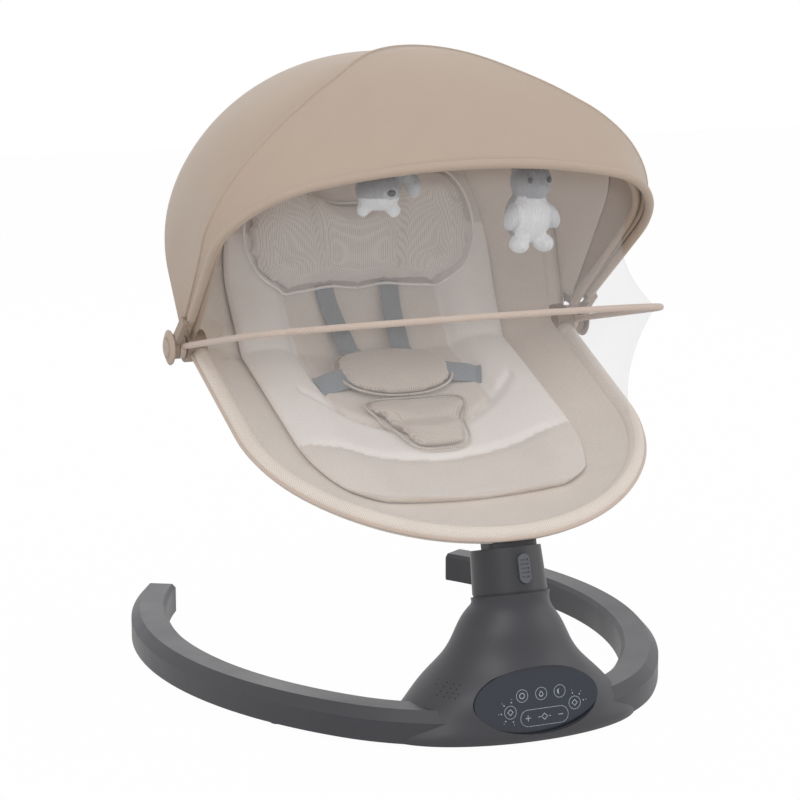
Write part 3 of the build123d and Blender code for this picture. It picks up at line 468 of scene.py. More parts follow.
def skin(name, rows, ring=False):
    """Quads through rows of points, with the lengths along them, in metres, as the cloth map."""
    wide = len(rows[0])
    faces, places = [], []
    middle = wide // 2
    down = [0.0]
    for a, b in zip(rows, rows[1:]):
        down.append(down[-1] + (b[middle] - a[middle]).length)
    over = []
    for row in rows:
        runs = [0.0]
        for a, b in zip(row, row[1:] + row[:1]):
            runs.append(runs[-1] + (b - a).length)
        over.append([run - runs[middle] for run in runs])
    for i in range(len(rows) - 1):
        for j in range(wide if ring else wide - 1):
            k = (j + 1) % wide
            faces.append((i * wide + j, i * wide + k, (i + 1) * wide + k, (i + 1) * wide + j))
            places += [(over[i][j], down[i]), (over[i][j + 1], down[i]),
                       (over[i + 1][j + 1], down[i + 1]), (over[i + 1][j], down[i + 1])]
    mesh = bpy.data.meshes.new(name)
    mesh.from_pydata([p for row in rows for p in row], [], faces)
    layer = mesh.uv_layers.new(name="cloth")
    layer.data.foreach_set("uv", [c for place in places for c in place])
    return mesh


def close_ends(mesh, wide):
    """Closes both ends of a ring of rows and turns its faces outwards."""
    form = bmesh.new()
    form.from_mesh(mesh)
    form.verts.ensure_lookup_table()
    count = len(form.verts)
    form.faces.new([form.verts[i] for i in range(wide)])
    form.faces.new([form.verts[count - wide + i] for i in range(wide)])
    bmesh.ops.recalc_face_normals(form, faces=form.faces)
    form.to_mesh(mesh)
    form.free()
    return mesh


def tube(name, path, radius, sides=12, tall=1.0):
    """A closed round rod along a path, tall times as high as it is wide."""
    rows = []
    side = None
    for i, point in enumerate(path):
        ahead = (path[min(i + 1, len(path) - 1)] - path[max(i - 1, 0)]).normalized()
        if side is None:
            side = ahead.orthogonal().normalized()
        side = (side - ahead * side.dot(ahead)).normalized()
        up = ahead.cross(side)
        rows.append([point + radius * (cos(2 * pi * k / sides) * side + tall * sin(2 * pi * k / sides) * up)
                     for k in range(sides)])
    return close_ends(skin(name, rows, True), sides)


weave, weave_in, weave_out = node_group(
    "weave",
    [("Vector", "Vector"), ("Color", "Color"), ("Gap Color", "Color"), ("Pitch", "Float"), ("Tone", "Float")],
    [("Color", "Color"), ("Height", "Float"), ("Holes", "Float")])
turns = add(weave, "Math", {"operation": "MULTIPLY"}, {0: weave_in["Pitch"], 1: 2 * pi})
spread = add(weave, "VectorMath", {"operation": "SCALE"}, {0: weave_in["Vector"], "Scale": turns.outputs[0]})
split = add(weave, "SeparateXYZ", None, {0: spread.outputs[0]})
warp = add(weave, "Math", {"operation": "SINE"}, {0: split.outputs["X"]})
weft = add(weave, "Math", {"operation": "SINE"}, {0: split.outputs["Y"]})
cross = add(weave, "Math", {"operation": "MULTIPLY"}, {0: warp.outputs[0], 1: weft.outputs[0]})
holes = add(weave, "MapRange", None, {"Value": cross.outputs[0], "From Min": 0.1, "From Max": 0.75})
blotch = add(weave, "TexNoise", None, {"Vector": weave_in["Vector"], "Scale": 26, "Detail": 4})
yarn = add(weave, "TexNoise", None, {"Vector": weave_in["Vector"], "Scale": 420, "Detail": 2})
both = add(weave, "Math", {"operation": "ADD"}, {0: blotch.outputs["Fac"], 1: yarn.outputs["Fac"]})
off = add(weave, "Math", {"operation": "SUBTRACT"}, {0: both.outputs[0], 1: 1})
shade = add(weave, "Math", {"operation": "MULTIPLY_ADD"}, {0: off.outputs[0], 1: weave_in["Tone"], 2: 1})
threads = add(weave, "MixRGB", None, {"Fac": holes.outputs[0], "Color1": weave_in["Color"],
                                      "Color2": weave_in["Gap Color"]})
dyed = add(weave, "MixRGB", {"blend_type": "MULTIPLY"},
           {"Fac": 1, "Color1": threads.outputs[0], "Color2": shade.outputs[0]})
raised = add(weave, "Math", {"operation": "SUBTRACT"}, {0: yarn.outputs["Fac"], 1: holes.outputs[0]})
weave.links.new(dyed.outputs[0], weave_out["Color"])
weave.links.new(raised.outputs[0], weave_out["Height"])
weave.links.new(holes.outputs[0], weave_out["Holes"])


def cloth(name, colour, gap, pitch, bump=0.3, tone=0.1, mapped=True, pale=None, sheen=0.25):
    """Woven or knitted cloth; pale is a second colour laid where the piece's own pale mask says."""
    finish = bpy.data.materials.new(name)
    finish.use_nodes = True
    tree = finish.node_tree
    shader = tree.nodes["Principled BSDF"]
    if mapped:
        place = add(tree, "UVMap", {"uv_map": "cloth"}).outputs["UV"]
    else:
        place = add(tree, "TexCoord").outputs["Object"]
    if pale:
        mask = add(tree, "Attribute", {"attribute_name": "pale"}).outputs["Fac"]
        colour = add(tree, "MixRGB", None, {"Fac": mask, "Color1": colour, "Color2": pale}).outputs[0]
        gap = add(tree, "MixRGB", None, {"Fac": mask, "Color1": gap, "Color2": pale}).outputs[0]
    knit = add(tree, "Group", {"node_tree": weave},
               {"Vector": place, "Color": colour, "Gap Color": gap, "Pitch": pitch, "Tone": tone})
    relief = add(tree, "Bump", None, {"Strength": bump, "Distance": 0.0006, "Height": knit.outputs["Height"]})
    tree.links.new(knit.outputs["Color"], shader.inputs["Base Color"])
    tree.links.new(relief.outputs[0], shader.inputs["Normal"])
    shader.inputs["Roughness"].default_value = 0.85
    shader.inputs["Sheen Weight"].default_value = sheen
    return finish


MESH_BEIGE, MESH_GAP = srgb(240, 229, 218), srgb(203, 189, 176)
TAN, TAN_DARK = srgb(194, 175, 158), srgb(176, 156, 139)
PIPE = srgb(214, 195, 183)
seat_mesh_cloth = cloth("seat_mesh", MESH_BEIGE, MESH_GAP, 400)
tan_cloth = cloth("canopy_cloth", TAN, TAN_DARK, 1250, 0.15, 0.06)
pipe_cloth = cloth("piping", PIPE, TAN, 900, 0.2)
SLEEVE_R, SLEEVE_START = 0.0086, 0.0165
foot_path = [fan(x, r, FOOT_ANGLE) for x, r in bow_points(FOOT_BOW, SLEEVE_START, 96)]
BACK_BOW = (0.2066, 3, 0.08, 0.16, 0.281)
back_path = [fan(x, r, BACK_ANGLE) for x, r in bow_points(BACK_BOW, SLEEVE_START, 96)]
fit(tube("foot_sleeve", foot_path, SLEEVE_R, 16), "seat", seat_mesh_cloth, "mesh_cloth")
fit(tube("back_sleeve", back_path, SLEEVE_R, 16), "seat", seat_mesh_cloth, "mesh_cloth")
PIPE_R = 0.0022
pipe_path = [fan(x, r, FOOT_ANGLE) for x, r in bow_points(inset(FOOT_BOW, -SLEEVE_R), SLEEVE_START, 120)]
fit(tube("foot_piping", pipe_path, PIPE_R, 8), "seat", pipe_cloth, "canopy_cloth")

# Seat sling: one bowl of knitted mesh cloth, sewn to the sleeves all round the two tubes.
# It hangs deepest under the hips and comes up to the head end.
LIP = fan(0, FOOT_BOW[4], FOOT_ANGLE)
HEAD = fan(0, BACK_BOW[4], BACK_ANGLE)
SEAT_RUN = (HEAD - LIP).length
SEAT_DIR = (HEAD - LIP).normalized()
DEEP = Vector((0, SEAT_DIR.z, -SEAT_DIR.y))
HUB_RUN = (fan(0, 0, 0) - LIP).dot(SEAT_DIR)
HUB_DEEP = (fan(0, 0, 0) - LIP).dot(DEEP)
SLING_IN, SLING_T = 0.0095, 0.003
SAG = ((0.0, 0.002), (0.014, 0.008), (0.06, 0.026), (0.13, 0.045), (0.225, 0.057), (0.32, 0.068),
       (0.395, 0.086), (0.45, 0.07), (0.51, 0.034), (0.562, 0.009), (0.60, 0.002))


def curve_at(table, at):
    """A smooth curve through the table's (place, value) pairs."""
    for i in range(len(table) - 1):
        (a, va), (b, vb) = table[i], table[i + 1]
        if at <= b or i == len(table) - 2:
            before, after = table[max(i - 1, 0)], table[min(i + 2, len(table) - 1)]
            m0 = (vb - before[1]) / (b - before[0]) * (b - a)
            m1 = (after[1] - va) / (after[0] - a) * (b - a)
            t = min(max((at - a) / (b - a), 0), 1)
            return ((2 * t ** 3 - 3 * t ** 2 + 1) * va + (t ** 3 - 2 * t ** 2 + t) * m0
                    + (3 * t ** 2 - 2 * t ** 3) * vb + (t ** 3 - t ** 2) * m1)


def rim(run, draw_in):
    """Half width and depth of the seat's edge at a run up the seat, drawn in from the tubes."""
    if run <= HUB_RUN:
        return bow_half(inset(FOOT_BOW, draw_in), FOOT_BOW[4] * (1 - run / HUB_RUN)), HUB_DEEP * run / HUB_RUN
    up = (run - HUB_RUN) / (SEAT_RUN - HUB_RUN)
    return bow_half(inset(BACK_BOW, draw_in), BACK_BOW[4] * up), HUB_DEEP * (1 - up)


def sling_depth(run, across):
    """Depth of the sling's outer side below the line from lip to head."""
    half, deep = rim(run, SLING_IN)
    sag = curve_at(SAG, run)
    radius = (half * half + sag * sag) / (2 * sag)
    return deep + sag - radius + sqrt(max(radius * radius - across * across, 0))


def seat_place(run, across, depth):
    return LIP + SEAT_DIR * run + DEEP * depth + Vector((across, 0, 0))


SLING_ROWS, SLING_COLS, SLING_TUCK = 84, 60, 0.004
sling_rows = []
for i in range(SLING_ROWS + 1):
    run = 0.0055 + (SEAT_RUN - 0.011) * (1 - cos(pi * i / SLING_ROWS)) / 2
    half = max(rim(run, SLING_TUCK)[0], 0.006)
    row = []
    for j in range(SLING_COLS + 1):
        across = half * sin(pi / 2 * (2 * j / SLING_COLS - 1))
        depth = sling_depth(run, across * rim(run, SLING_IN)[0] / half)
        row.append(seat_place(run, across, depth - SLING_T / 2))
    sling_rows.append(row)
sling = fit(skin("seat_sling_cloth", sling_rows), "seat", seat_mesh_cloth, "mesh_cloth", "seat_sling",
            thick=0.002)


# Seat liner: a quilted pad tied into the sling, knitted cloth with pale side panels and a pale roll in
# front of the hips. Its seams sink between the filled panels.
LINER_SHARE, LINER_LOW, LINER_HIGH = 0.76, 0.072, 0.533
LINER_FILL = ((0.05, 0.006), (0.075, 0.010), (0.13, 0.019), (0.225, 0.023), (0.32, 0.023), (0.395, 0.023),
              (0.45, 0.022), (0.50, 0.012), (0.533, 0.005))
PANEL_SEAM, SEAM_W = 0.088, 0.006


def roll_low(across):
    return 0.136 + 1.3 * across ** 2


def roll_high(across):
    return 0.183 + 4.6 * across ** 2


def dent(distance, width):
    return exp(-(distance / width) ** 2)


def liner_fill(run, across):
    """Thickness of the filled liner, with its seams sunk in."""
    q = min(abs(across) / (LINER_SHARE * rim(run, SLING_IN)[0]), 1)
    full = curve_at(LINER_FILL, run)
    body = full * (1 - q ** 6) ** 0.5 * (1 + 0.3 * dent(q - 0.74, 0.16))
    seams = dent(run - roll_low(across), SEAM_W)
    seams += dent(run - roll_high(across), SEAM_W) * (abs(across) < 0.12)
    if run > roll_high(across):
        seams += dent(abs(across) - PANEL_SEAM, SEAM_W)
    return max(body - 0.0055 * min(seams, 1) * (1 - q ** 4), 0.0008)


def liner_top(run, across):
    return sling_depth(run, across) - SLING_T - 0.0008 - liner_fill(run, across)


def liner_pale(run, across):
    """1 on the pale side panels and front roll, 0 on the knitted cloth."""
    in_roll = roll_low(across) < run < roll_high(across)
    on_side = abs(across) > PANEL_SEAM and roll_low(across) < run < 0.44
    return 1.0 if in_roll or on_side else 0.0


LINER_ROWS, LINER_COLS = 150, 110
liner_rows, liner_mask = [], []
for i in range(LINER_ROWS + 1):
    run = LINER_LOW + (LINER_HIGH - LINER_LOW) * i / LINER_ROWS
    half = LINER_SHARE * rim(run, SLING_IN)[0]
    end = min(i, LINER_ROWS - i) / 8
    half *= sqrt(1 - (1 - end) ** 2 * 0.3) if end < 1 else 1
    top, low = [], []
    for j in range(LINER_COLS + 1):
        across = half * sin(pi / 2 * (2 * j / LINER_COLS - 1))
        top.append(seat_place(run, across, liner_top(run, across)))
        liner_mask.append(liner_pale(run, across))
        if 0 < j < LINER_COLS:
            low.append(seat_place(run, across, sling_depth(run, across) - SLING_T - 0.0002))
    liner_rows.append(top + low[::-1])
    liner_mask += [0.0] * len(low)
liner_mesh = skin("seat_liner", liner_rows, True)
mask_layer = liner_mesh.attributes.new("pale", "FLOAT", "POINT")
mask_layer.data.foreach_set("value", liner_mask)
close_ends(liner_mesh, len(liner_rows[0]))
LINER_KNIT, LINER_GAP, CREAM = srgb(240, 230, 221), srgb(206, 194, 183), srgb(252, 245, 240)
liner_cloth = cloth("liner_cloth", LINER_KNIT, LINER_GAP, 420, 0.3, 0.1, True, CREAM)
liner = fit(liner_mesh, "seat", liner_cloth, "liner_cloth", "seat_cushion")


# Pads: a head pillow with two wings and seams between them, a tummy pad and a crotch pad, stuffed with
# fibre and tied to the liner. Each is blown up a little by its filling.
def smooth_loop(points, count):
    """A smooth closed outline through given points, mirrored across the middle line."""
    loop = points + [(-x, run) for x, run in reversed(points) if x > 0]
    out = []
    for i in range(len(loop)):
        p0, p1, p2, p3 = (loop[(i + k) % len(loop)] for k in (-1, 0, 1, 2))
        for step in range(count):
            t = step / count
            out.append(tuple(0.5 * (2 * b + (c - a) * t + (2 * a - 5 * b + 4 * c - d) * t ** 2
                                    + (3 * b - a - 3 * c + d) * t ** 3)
                             for a, b, c, d in zip(p0, p1, p2, p3)))
    return out


def stuffed(name, outline, lift, plump, flat_under=0.12):
    """A closed pad on the liner inside an outline of (across, run), lifted off it and plump in the middle."""
    middle = (0.0, sum(p[1] for p in outline) / len(outline))
    shares = (0.0, 0.18, 0.36, 0.54, 0.7, 0.83, 0.93, 1.0)
    form = bmesh.new()

    def place(share, edge, over):
        across = middle[0] + (edge[0] - middle[0]) * share
        run = middle[1] + (edge[1] - middle[1]) * share
        swell = sqrt(max(1 - share ** 2.6, 0)) * plump
        height = lift + (swell if over else -swell * flat_under)
        return form.verts.new(seat_place(run, across, liner_top(run, across) - height))

    rim_ring = [place(1.0, edge, True) for edge in outline]
    for over in (True, False):
        ring = rim_ring
        for share in reversed(shares[1:-1]):
            inner = [place(share, edge, over) for edge in outline]
            for i in range(len(ring)):
                k = (i + 1) % len(ring)
                form.faces.new((ring[i], ring[k], inner[k], inner[i]))
            ring = inner
        tip = place(0.0, outline[0], over)
        for i in range(len(ring)):
            form.faces.new((ring[i], ring[(i + 1) % len(ring)], tip))
    bmesh.ops.recalc_face_normals(form, faces=form.faces)
    mesh = bpy.data.meshes.new(name)
    form.to_mesh(mesh)
    form.free()
    return mesh


def inflate(mesh, voxel=0.004, pressure=4.0, cap=0.005):
    """Fills a pad: remeshed finely, blown up as cloth and held back where it moves too far."""
    pad = bpy.data.objects.new(mesh.name, mesh)
    scene.collection.objects.link(pad)
    fine = pad.modifiers.new("fine", "REMESH")
    fine.mode, fine.voxel_size = "VOXEL", voxel
    start = bpy.data.meshes.new_from_object(pad.evaluated_get(bpy.context.evaluated_depsgraph_get()))
    pad.modifiers.clear()
    pad.data = start
    rest = [v.co.copy() for v in start.vertices]
    air = pad.modifiers.new("air", "CLOTH")
    air.settings.use_pressure = True
    air.settings.uniform_pressure_force = pressure
    air.settings.effector_weights.gravity = 0
    air.settings.quality = 5
    air.point_cache.frame_start, air.point_cache.frame_end = 1, 20
    for step in range(1, 21):
        scene.frame_set(step)
    blown = bpy.data.meshes.new_from_object(pad.evaluated_get(bpy.context.evaluated_depsgraph_get()))
    scene.frame_set(1)
    for vertex, home in zip(blown.vertices, rest):
        move = vertex.co - home
        if move.length > cap:
            vertex.co = home + move.normalized() * cap
    start = blown
    bpy.data.objects.remove(pad)
    start.name = mesh.name
    return start


def stitch_in(mesh, line, width, depth):
    """Sinks a sewn line, points of (across, run), into a pad's upper side."""
    places = [seat_place(run, across, liner_top(run, across)) for across, run in line]
    for vertex in mesh.vertices:
        near = min((vertex.co - p - DEEP * (vertex.co - p).dot(DEEP)).length for p in places)
        vertex.co += DEEP * depth * dent(near, width)


PILLOW_EDGE = [(0.0, 0.398), (0.03, 0.400), (0.058, 0.395), (0.09, 0.389), (0.116, 0.397), (0.130, 0.420),
               (0.130, 0.448), (0.118, 0.473), (0.096, 0.488), (0.073, 0.490), (0.05, 0.478), (0.025, 0.471),
               (0.0, 0.470)]
pillow_loop = smooth_loop(PILLOW_EDGE, 5)
pillow_mesh = inflate(stuffed("head_pillow_cover", pillow_loop, 0.006, 0.020))
for side in (-1, 1):
    wing_seam = [(side * (0.036 + 0.018 * t), 0.392 + 0.092 * t) for t in (i / 24 for i in range(25))]
    stitch_in(pillow_mesh, wing_seam, 0.006, 0.008)
pad_knit = cloth("pillow_knit", srgb(236, 227, 220), srgb(204, 194, 186), 420, 0.3, 0.12, False)
pillow = fit(pillow_mesh, "seat", pad_knit, "pad_cloth", "head_pillow", "left_pillow_wing",
             "right_pillow_wing", round_up=1)


def edging(name, loop, lift, radius):
    """A corded edge along an outline on the liner, closed on itself."""
    path = [seat_place(run, across, liner_top(run, across) - lift) for across, run in loop]
    return tube(name, path + path[:1], radius, 8)


pale_cord = cloth("pale_cord", CREAM, CREAM, 900)
fit(edging("pillow_piping", pillow_loop, 0.006, 0.0016), "seat", pale_cord, "pad_cloth")
TUMMY_EDGE = [(0.0, 0.238), (0.03, 0.241), (0.055, 0.254), (0.064, 0.277), (0.055, 0.303), (0.03, 0.318),
              (0.0, 0.322)]
CROTCH_EDGE = [(0.0, 0.146), (0.022, 0.148), (0.034, 0.160), (0.040, 0.182), (0.050, 0.205), (0.055, 0.224),
               (0.04, 0.233), (0.0, 0.235)]
taupe = cloth("pad_knit", srgb(218, 206, 195), srgb(184, 172, 161), 460, 0.35, 0.12, False)
for name, edge, lift, plump, node in (("crotch_pad_cover", CROTCH_EDGE, 0.005, 0.010, "crotch_pad"),
                                      ("tummy_pad_cover", TUMMY_EDGE, 0.008, 0.014, "tummy_pad")):
    loop = smooth_loop(edge, 6)
    pad = fit(inflate(stuffed(name, loop, lift, plump)), "seat", taupe, "pad_cloth", node, round_up=1)
    fit(edging(name + "_edge", loop, lift, 0.0014), "seat", taupe, "pad_cloth")


# Harness: grey-blue webbing, two shoulder straps out of the pillow to the tummy pad and two waist
# straps from its sides to the liner's seams.
def webbing(name, line, width, thick, node, finish):
    """A flat strap lying on the liner along a line of (across, run, lift)."""
    rows = []
    for i, (across, run, lift) in enumerate(line):
        a, b = line[max(i - 1, 0)], line[min(i + 1, len(line) - 1)]
        heading = Vector((b[0] - a[0], b[1] - a[1])).normalized()
        ends = []
        for side in (-1, 1):
            x = across + side * heading.y * width / 2
            r = run - side * heading.x * width / 2
            ends.append((x, r))
        row = []
        for (x, r), up in ((ends[0], 0), (ends[1], 0), (ends[1], thick), (ends[0], thick)):
            row.append(seat_place(r, x, liner_top(run, across) - lift - up))
        rows.append(row)
    mesh = close_ends(skin(name, rows, True), 4)
    strap = fit(mesh, "seat", finish, "webbing", node)
    edge = strap.modifiers.new("edge", "BEVEL")
    edge.width, edge.segments = thick * 0.4, 2
    return strap


strap_web = cloth("harness_webbing", srgb(152, 157, 163), srgb(128, 134, 141), 700, 0.4, 0.1)
for side, word in ((-1, "left"), (1, "right")):
    over_chest = [(side * (0.038 - 0.010 * t), 0.402 - 0.095 * t, 0.003 + 0.011 * t * t)
                  for t in (i / 12 for i in range(13))]
    round_hips = [(side * (0.052 + 0.04 * t), 0.270 - 0.012 * t, 0.009 * (1 - t) + 0.0012)
                  for t in (i / 8 for i in range(9))]
    webbing(word + "_shoulder_webbing", over_chest, 0.021, 0.002, word + "_shoulder_strap", strap_web)
    webbing(word + "_waist_webbing", round_hips, 0.024, 0.002, word + "_waist_strap", strap_web)

# Hood: tan cloth stretched from its bow in front to the back tube, lined with knitted mesh behind the
# head. Its lower corners run down to the hubs, whose ends have small cloth covers.
HOOD_FRONT, HOOD_REAR, HOOD_START = 42.3, 115.5, 0.02
HOOD_ENDS = ((46.5, inset(CANOPY, 0.0052)), (115, inset(BACK_BOW, -0.0112)))
HOOD_ROWS, HOOD_COLS = 40, 96


def hood_outline(angle, draw_in):
    """The hood's outline at an angle, from the hood bow's shape to the rounder back tube's."""
    (first, front), (last, rear) = HOOD_ENDS
    share = (angle - first) / (last - first)
    return inset([a + (b - a) * share for a, b in zip(front, rear)], draw_in)


def canopy_rows(draw_in, first, last, rows, start, sag=0.0):
    """Rows of cloth round the hub axis between two angles, drawn in a little between the bows."""
    made = []
    for i in range(rows + 1):
        t = i / rows
        angle = first + (last - first) * t
        outline = hood_outline(angle, draw_in + sag * 4 * t * (1 - t))
        made.append([fan(x, r, angle) for x, r in bow_points(outline, start, HOOD_COLS)])
    return made


hood = fit(skin("hood_cloth", canopy_rows(0, HOOD_FRONT, HOOD_REAR, HOOD_ROWS, HOOD_START, 0.002)),
           "seat", tan_cloth, "canopy_cloth", "hood", thick=0.0012)
LINING_FRONT, HOOD_BOW_ANGLE = 62, 44.4
lining = fit(skin("hood_lining", canopy_rows(0.0036, LINING_FRONT, HOOD_REAR - 3, 30, 0.03, 0.002)),
             "seat", seat_mesh_cloth, "mesh_cloth", thick=0.001)
hem_path = [fan(x, r, HOOD_BOW_ANGLE) for x, r in bow_points(inset(CANOPY, 0.0105), 0.03, 96)]
fit(tube("hood_hem", hem_path, 0.0042, 10), "seat", tan_cloth, "canopy_cloth")

COVER_R, COVER_X, COVER_BULGE, COVER_RINGS, COVER_SIDES = 0.018, 0.2390, 0.0045, 9, 24
for word, side in (("left", -1), ("right", 1)):
    rings = []
    for i in range(COVER_RINGS):
        reach = COVER_R * (i + 0.3) / (COVER_RINGS - 0.7)
        across = side * (COVER_X - COVER_BULGE * (reach / COVER_R) ** 2)
        rings.append([fan(across, reach, 360 * k / COVER_SIDES) for k in range(COVER_SIDES)])
    fit(skin(word + "_hub_cover", rings, True), "seat", tan_cloth, "canopy_cloth", thick=0.0012, side=1.0)

# Visor: a crescent of the same cloth over the hood, on a bent strip that turns on the hub pins.
# A corded hem runs along its front edge, and its upper edge is a narrow seam.
paint(hub_plastic, "visor_bow")
VISOR_FRONT = 41.5
VISOR_OUT = inset(CANOPY, -0.0008)
VISOR_EDGE = ((0.10, 44.6), (0.14, 45.2), (0.173, 46.2), (0.195, 47.0), (0.217, 48.6), (0.238, 50.5),
              (0.255, 52.8), (0.270, 55.6), (0.280, 59.2), (0.287, 63.2), (0.292, 66.4),
              (0.2955, 69.6), (0.3018, 77.5))
VISOR_START, VISOR_ROWS, VISOR_LIFT = 0.05, 18, 0.017
visor_line = bow_points(VISOR_OUT, VISOR_START, 120)
visor_rows = []
for i in range(VISOR_ROWS + 1):
    t = i / VISOR_ROWS
    row = []
    for x, r in visor_line:
        edge = curve_at(VISOR_EDGE, r) if r > VISOR_EDGE[0][0] else VISOR_EDGE[0][1]
        lift = 1 + VISOR_LIFT * t * t
        row.append(fan(x * lift, r * lift, VISOR_FRONT - 1.0 + (edge - VISOR_FRONT + 1.0) * t))
    visor_rows.append(row)
visor = fit(skin("visor_crescent", visor_rows), "visor", tan_cloth, "canopy_cloth", "visor_cloth",
            thick=0.0012)
visor_hem = [fan(x, r, VISOR_FRONT - 0.9) for x, r in bow_points(inset(CANOPY, 0.0012), 0.05, 120)]
fit(tube("visor_hem", visor_hem, 0.0046, 10), "visor", tan_cloth, "canopy_cloth")
fit(tube("visor_seam", visor_rows[-1], 0.0016, 8), "visor", tan_cloth, "canopy_cloth")

# Net hoop and nets: a bound hoop on the hub pins spreads two panels of fine white net, from the hood's
# bow down to the hoop and from the hoop down to the foot tube.
paint(cloth("hoop_binding", PIPE, TAN, 900, 0.3, 0.1, False), "net_hoop")
net = bpy.data.materials.new("fine_net")
net.use_nodes = True
net_tree = net.node_tree
net_shader = net_tree.nodes["Principled BSDF"]
net_place = add(net_tree, "UVMap", {"uv_map": "cloth"}).outputs["UV"]
net_knit = add(net_tree, "Group", {"node_tree": weave},
               {"Vector": net_place, "Color": srgb(236, 236, 239), "Gap Color": srgb(225, 226, 230),
                "Pitch": 520, "Tone": 0.05})
net_alpha = add(net_tree, "MapRange", None,
                {"Value": net_knit.outputs["Holes"], "To Min": 0.17, "To Max": 0.05})
net_tree.links.new(net_knit.outputs["Color"], net_shader.inputs["Base Color"])
net_tree.links.new(net_alpha.outputs[0], net_shader.inputs["Alpha"])
net_shader.inputs["Roughness"].default_value = 0.8
NET_EDGE = (0.216, 0, 0.170, 0.094, 0.2905)
UPPER_NET = (((0.207, 4, 0.165, 0.095, 0.286), 43.6), ((0.190, 1, 0.166, 0.084, 0.277), 27.5),
             (NET_EDGE, 12.0))
LOWER_NET = ((NET_EDGE, 11.0), ((0.189, 0, 0.160, 0.118, 0.288), -6.0), (inset(FOOT_BOW, 0.002), -23.9))
NET_START, NET_ROWS = 0.05, 22
for name, stations, held in (("upper_net", UPPER_NET, ["hood_bow", "net_hoop"]),
                             ("lower_net", LOWER_NET, ["net_hoop", "foot_frame"])):
    rows = []
    for i in range(NET_ROWS + 1):
        t = i / NET_ROWS
        share = (2 * (t - 0.5) * (t - 1), -4 * t * (t - 1), 2 * t * (t - 0.5))
        outline = tuple(sum(w * s[0][k] for w, s in zip(share, stations)) for k in range(5))
        angle = sum(w * s[1] for w, s in zip(share, stations))
        rows.append([fan(x, r, angle) for x, r in bow_points(outline, NET_START, 72)])
    panel = fit(skin(name + "_cloth", rows), None, net, "net", name)
    fixed, moving = (stations[0], stations[2]) if name == "upper_net" else (stations[2], stations[0])
    start = fan(0, 0.29, fixed[1])
    turn = 1 if moving[1] > fixed[1] else -1
    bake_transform(panel)


# Toys: two plush animals hang on ribbons inside the net, one head down and one upright, in grey and
# white pile with dark bead eyes. They sway sideways on their loops.
def plush(name, lumps, voxel=0.0022):
    """One plush skin round overlapping rounded lumps of (centre, half sizes, turn, white)."""
    form = bmesh.new()
    for centre, half, turn, white in lumps:
        made = bmesh.ops.create_icosphere(form, subdivisions=4, radius=1)["verts"]
        matrix = Matrix.Translation(centre) @ Matrix.Rotation(radians(turn), 4, "Y")
        matrix @= Matrix.Diagonal((*half, 1))
        bmesh.ops.transform(form, matrix=matrix, verts=made)
    mesh = bpy.data.meshes.new(name)
    form.to_mesh(mesh)
    form.free()
    holder = bpy.data.objects.new(name, mesh)
    scene.collection.objects.link(holder)
    fine = holder.modifiers.new("fine", "REMESH")
    fine.mode, fine.voxel_size = "VOXEL", voxel
    soft = holder.modifiers.new("soft", "SMOOTH")
    soft.factor, soft.iterations = 0.5, 6
    skin_mesh = bpy.data.meshes.new_from_object(holder.evaluated_get(bpy.context.evaluated_depsgraph_get()))
    bpy.data.objects.remove(holder)
    skin_mesh.name = name
    mask = skin_mesh.attributes.new("pale", "FLOAT", "POINT")
    values = []
    for vertex in skin_mesh.vertices:
        near = min(lumps, key=lambda lump: sum(((c - m) / h) ** 2 for c, m, h in zip(vertex.co, *lump[:2])))
        values.append(near[3](vertex.co) if callable(near[3]) else near[3])
    mask.data.foreach_set("value", values)
    return skin_mesh


def pile(name, colour, pale):
    """Short plush pile: soft tufts in two colours, laid by the piece's own mask."""
    return cloth(name, colour, colour, 300, 0.9, 0.25, False, pale, 0.2)


plush_pile = pile("plush_pile", srgb(158, 159, 163), srgb(228, 229, 231))
bead = hard_finish("bead_eye", srgb(30, 30, 33), 0.15, 0.0, 0.1)
TOY_Y = -0.098


def beads(name, spots, half, body):
    form = bmesh.new()
    for spot in spots:
        made = bmesh.ops.create_uvsphere(form, u_segments=14, v_segments=10, radius=1)["verts"]
        bmesh.ops.transform(form, matrix=Matrix.Translation(spot) @ Matrix.Diagonal((*half, 1)), verts=made)
    mesh = bpy.data.meshes.new(name)
    form.to_mesh(mesh)
    form.free()
    return fit(mesh, body, bead, "plush_grey")


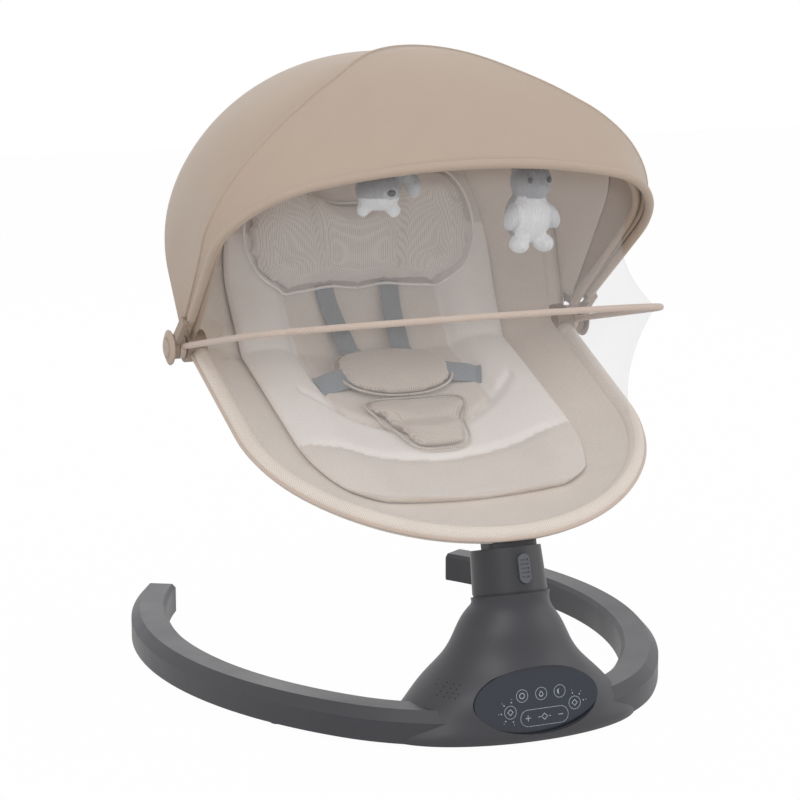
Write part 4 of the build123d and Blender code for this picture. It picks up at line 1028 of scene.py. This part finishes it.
belly = lambda co: 1.0 if co.y < TOY_Y - 0.006 and co.z < 0.494 else 0.0
RIGHT_X = 0.082
right_lumps = [((RIGHT_X, TOY_Y, 0.508), (0.021, 0.020, 0.021), 0, 0.0),
               ((RIGHT_X - 0.003, TOY_Y + 0.001, 0.474), (0.0235, 0.020, 0.027), 0, belly),
               ((RIGHT_X + 0.001, TOY_Y - 0.013, 0.503), (0.013, 0.010, 0.010), 0, 0.0),
               ((RIGHT_X - 0.024, TOY_Y - 0.007, 0.474), (0.008, 0.009, 0.014), 25, 0.6),
               ((RIGHT_X + 0.019, TOY_Y - 0.007, 0.474), (0.008, 0.009, 0.014), -25, 0.6),
               ((RIGHT_X - 0.0165, TOY_Y - 0.008, 0.4475), (0.010, 0.012, 0.009), 0, 1.0),
               ((RIGHT_X + 0.0105, TOY_Y - 0.008, 0.4475), (0.010, 0.012, 0.009), 0, 1.0),
               ((RIGHT_X - 0.015, TOY_Y + 0.002, 0.525), (0.007, 0.005, 0.008), 0, 0.0),
               ((RIGHT_X + 0.015, TOY_Y + 0.002, 0.525), (0.007, 0.005, 0.008), 0, 0.0)]
fit(plush("right_toy_plush", right_lumps), "right_toy", plush_pile, "plush_grey",
    "right_toy_head", "right_toy_body", "right_toy_limbs")
beads("right_toy_eyes", [(RIGHT_X + dx, TOY_Y - 0.0188, 0.511) for dx in (-0.0105, 0.0105)],
      (0.0022, 0.0018, 0.0032), "right_toy")
LEFT_X = -0.078
muzzle = lambda co: 1.0 if co.z < 0.500 else 0.0
left_lumps = [((LEFT_X - 0.004, TOY_Y - 0.001, 0.507), (0.0225, 0.020, 0.0205), 0, muzzle),
              ((LEFT_X - 0.001, TOY_Y - 0.012, 0.505), (0.012, 0.010, 0.009), 0, 0.3),
              ((LEFT_X + 0.010, TOY_Y + 0.002, 0.526), (0.018, 0.016, 0.016), -30, 0.0),
              ((LEFT_X - 0.020, TOY_Y - 0.002, 0.489), (0.0075, 0.005, 0.008), 25, 1.0),
              ((LEFT_X + 0.0115, TOY_Y - 0.002, 0.487), (0.0075, 0.005, 0.008), -25, 1.0),
              ((LEFT_X + 0.034, TOY_Y + 0.002, 0.5085), (0.008, 0.008, 0.012), 0, 0.4),
              ((LEFT_X + 0.024, TOY_Y + 0.002, 0.520), (0.008, 0.008, 0.010), -40, 0.2)]
fit(plush("left_toy_plush", left_lumps), "left_toy", plush_pile, "plush_grey",
    "left_toy_head", "left_toy_body", "left_toy_limbs")
beads("left_toy_nose", [(LEFT_X + 0.001, TOY_Y - 0.0215, 0.505)], (0.0045, 0.0028, 0.0034), "left_toy")
ribbon = cloth("toy_ribbon", srgb(214, 214, 216), srgb(190, 190, 194), 900, 0.3, 0.1, False)
paint(ribbon, "left_toy_ribbon", "right_toy_ribbon")
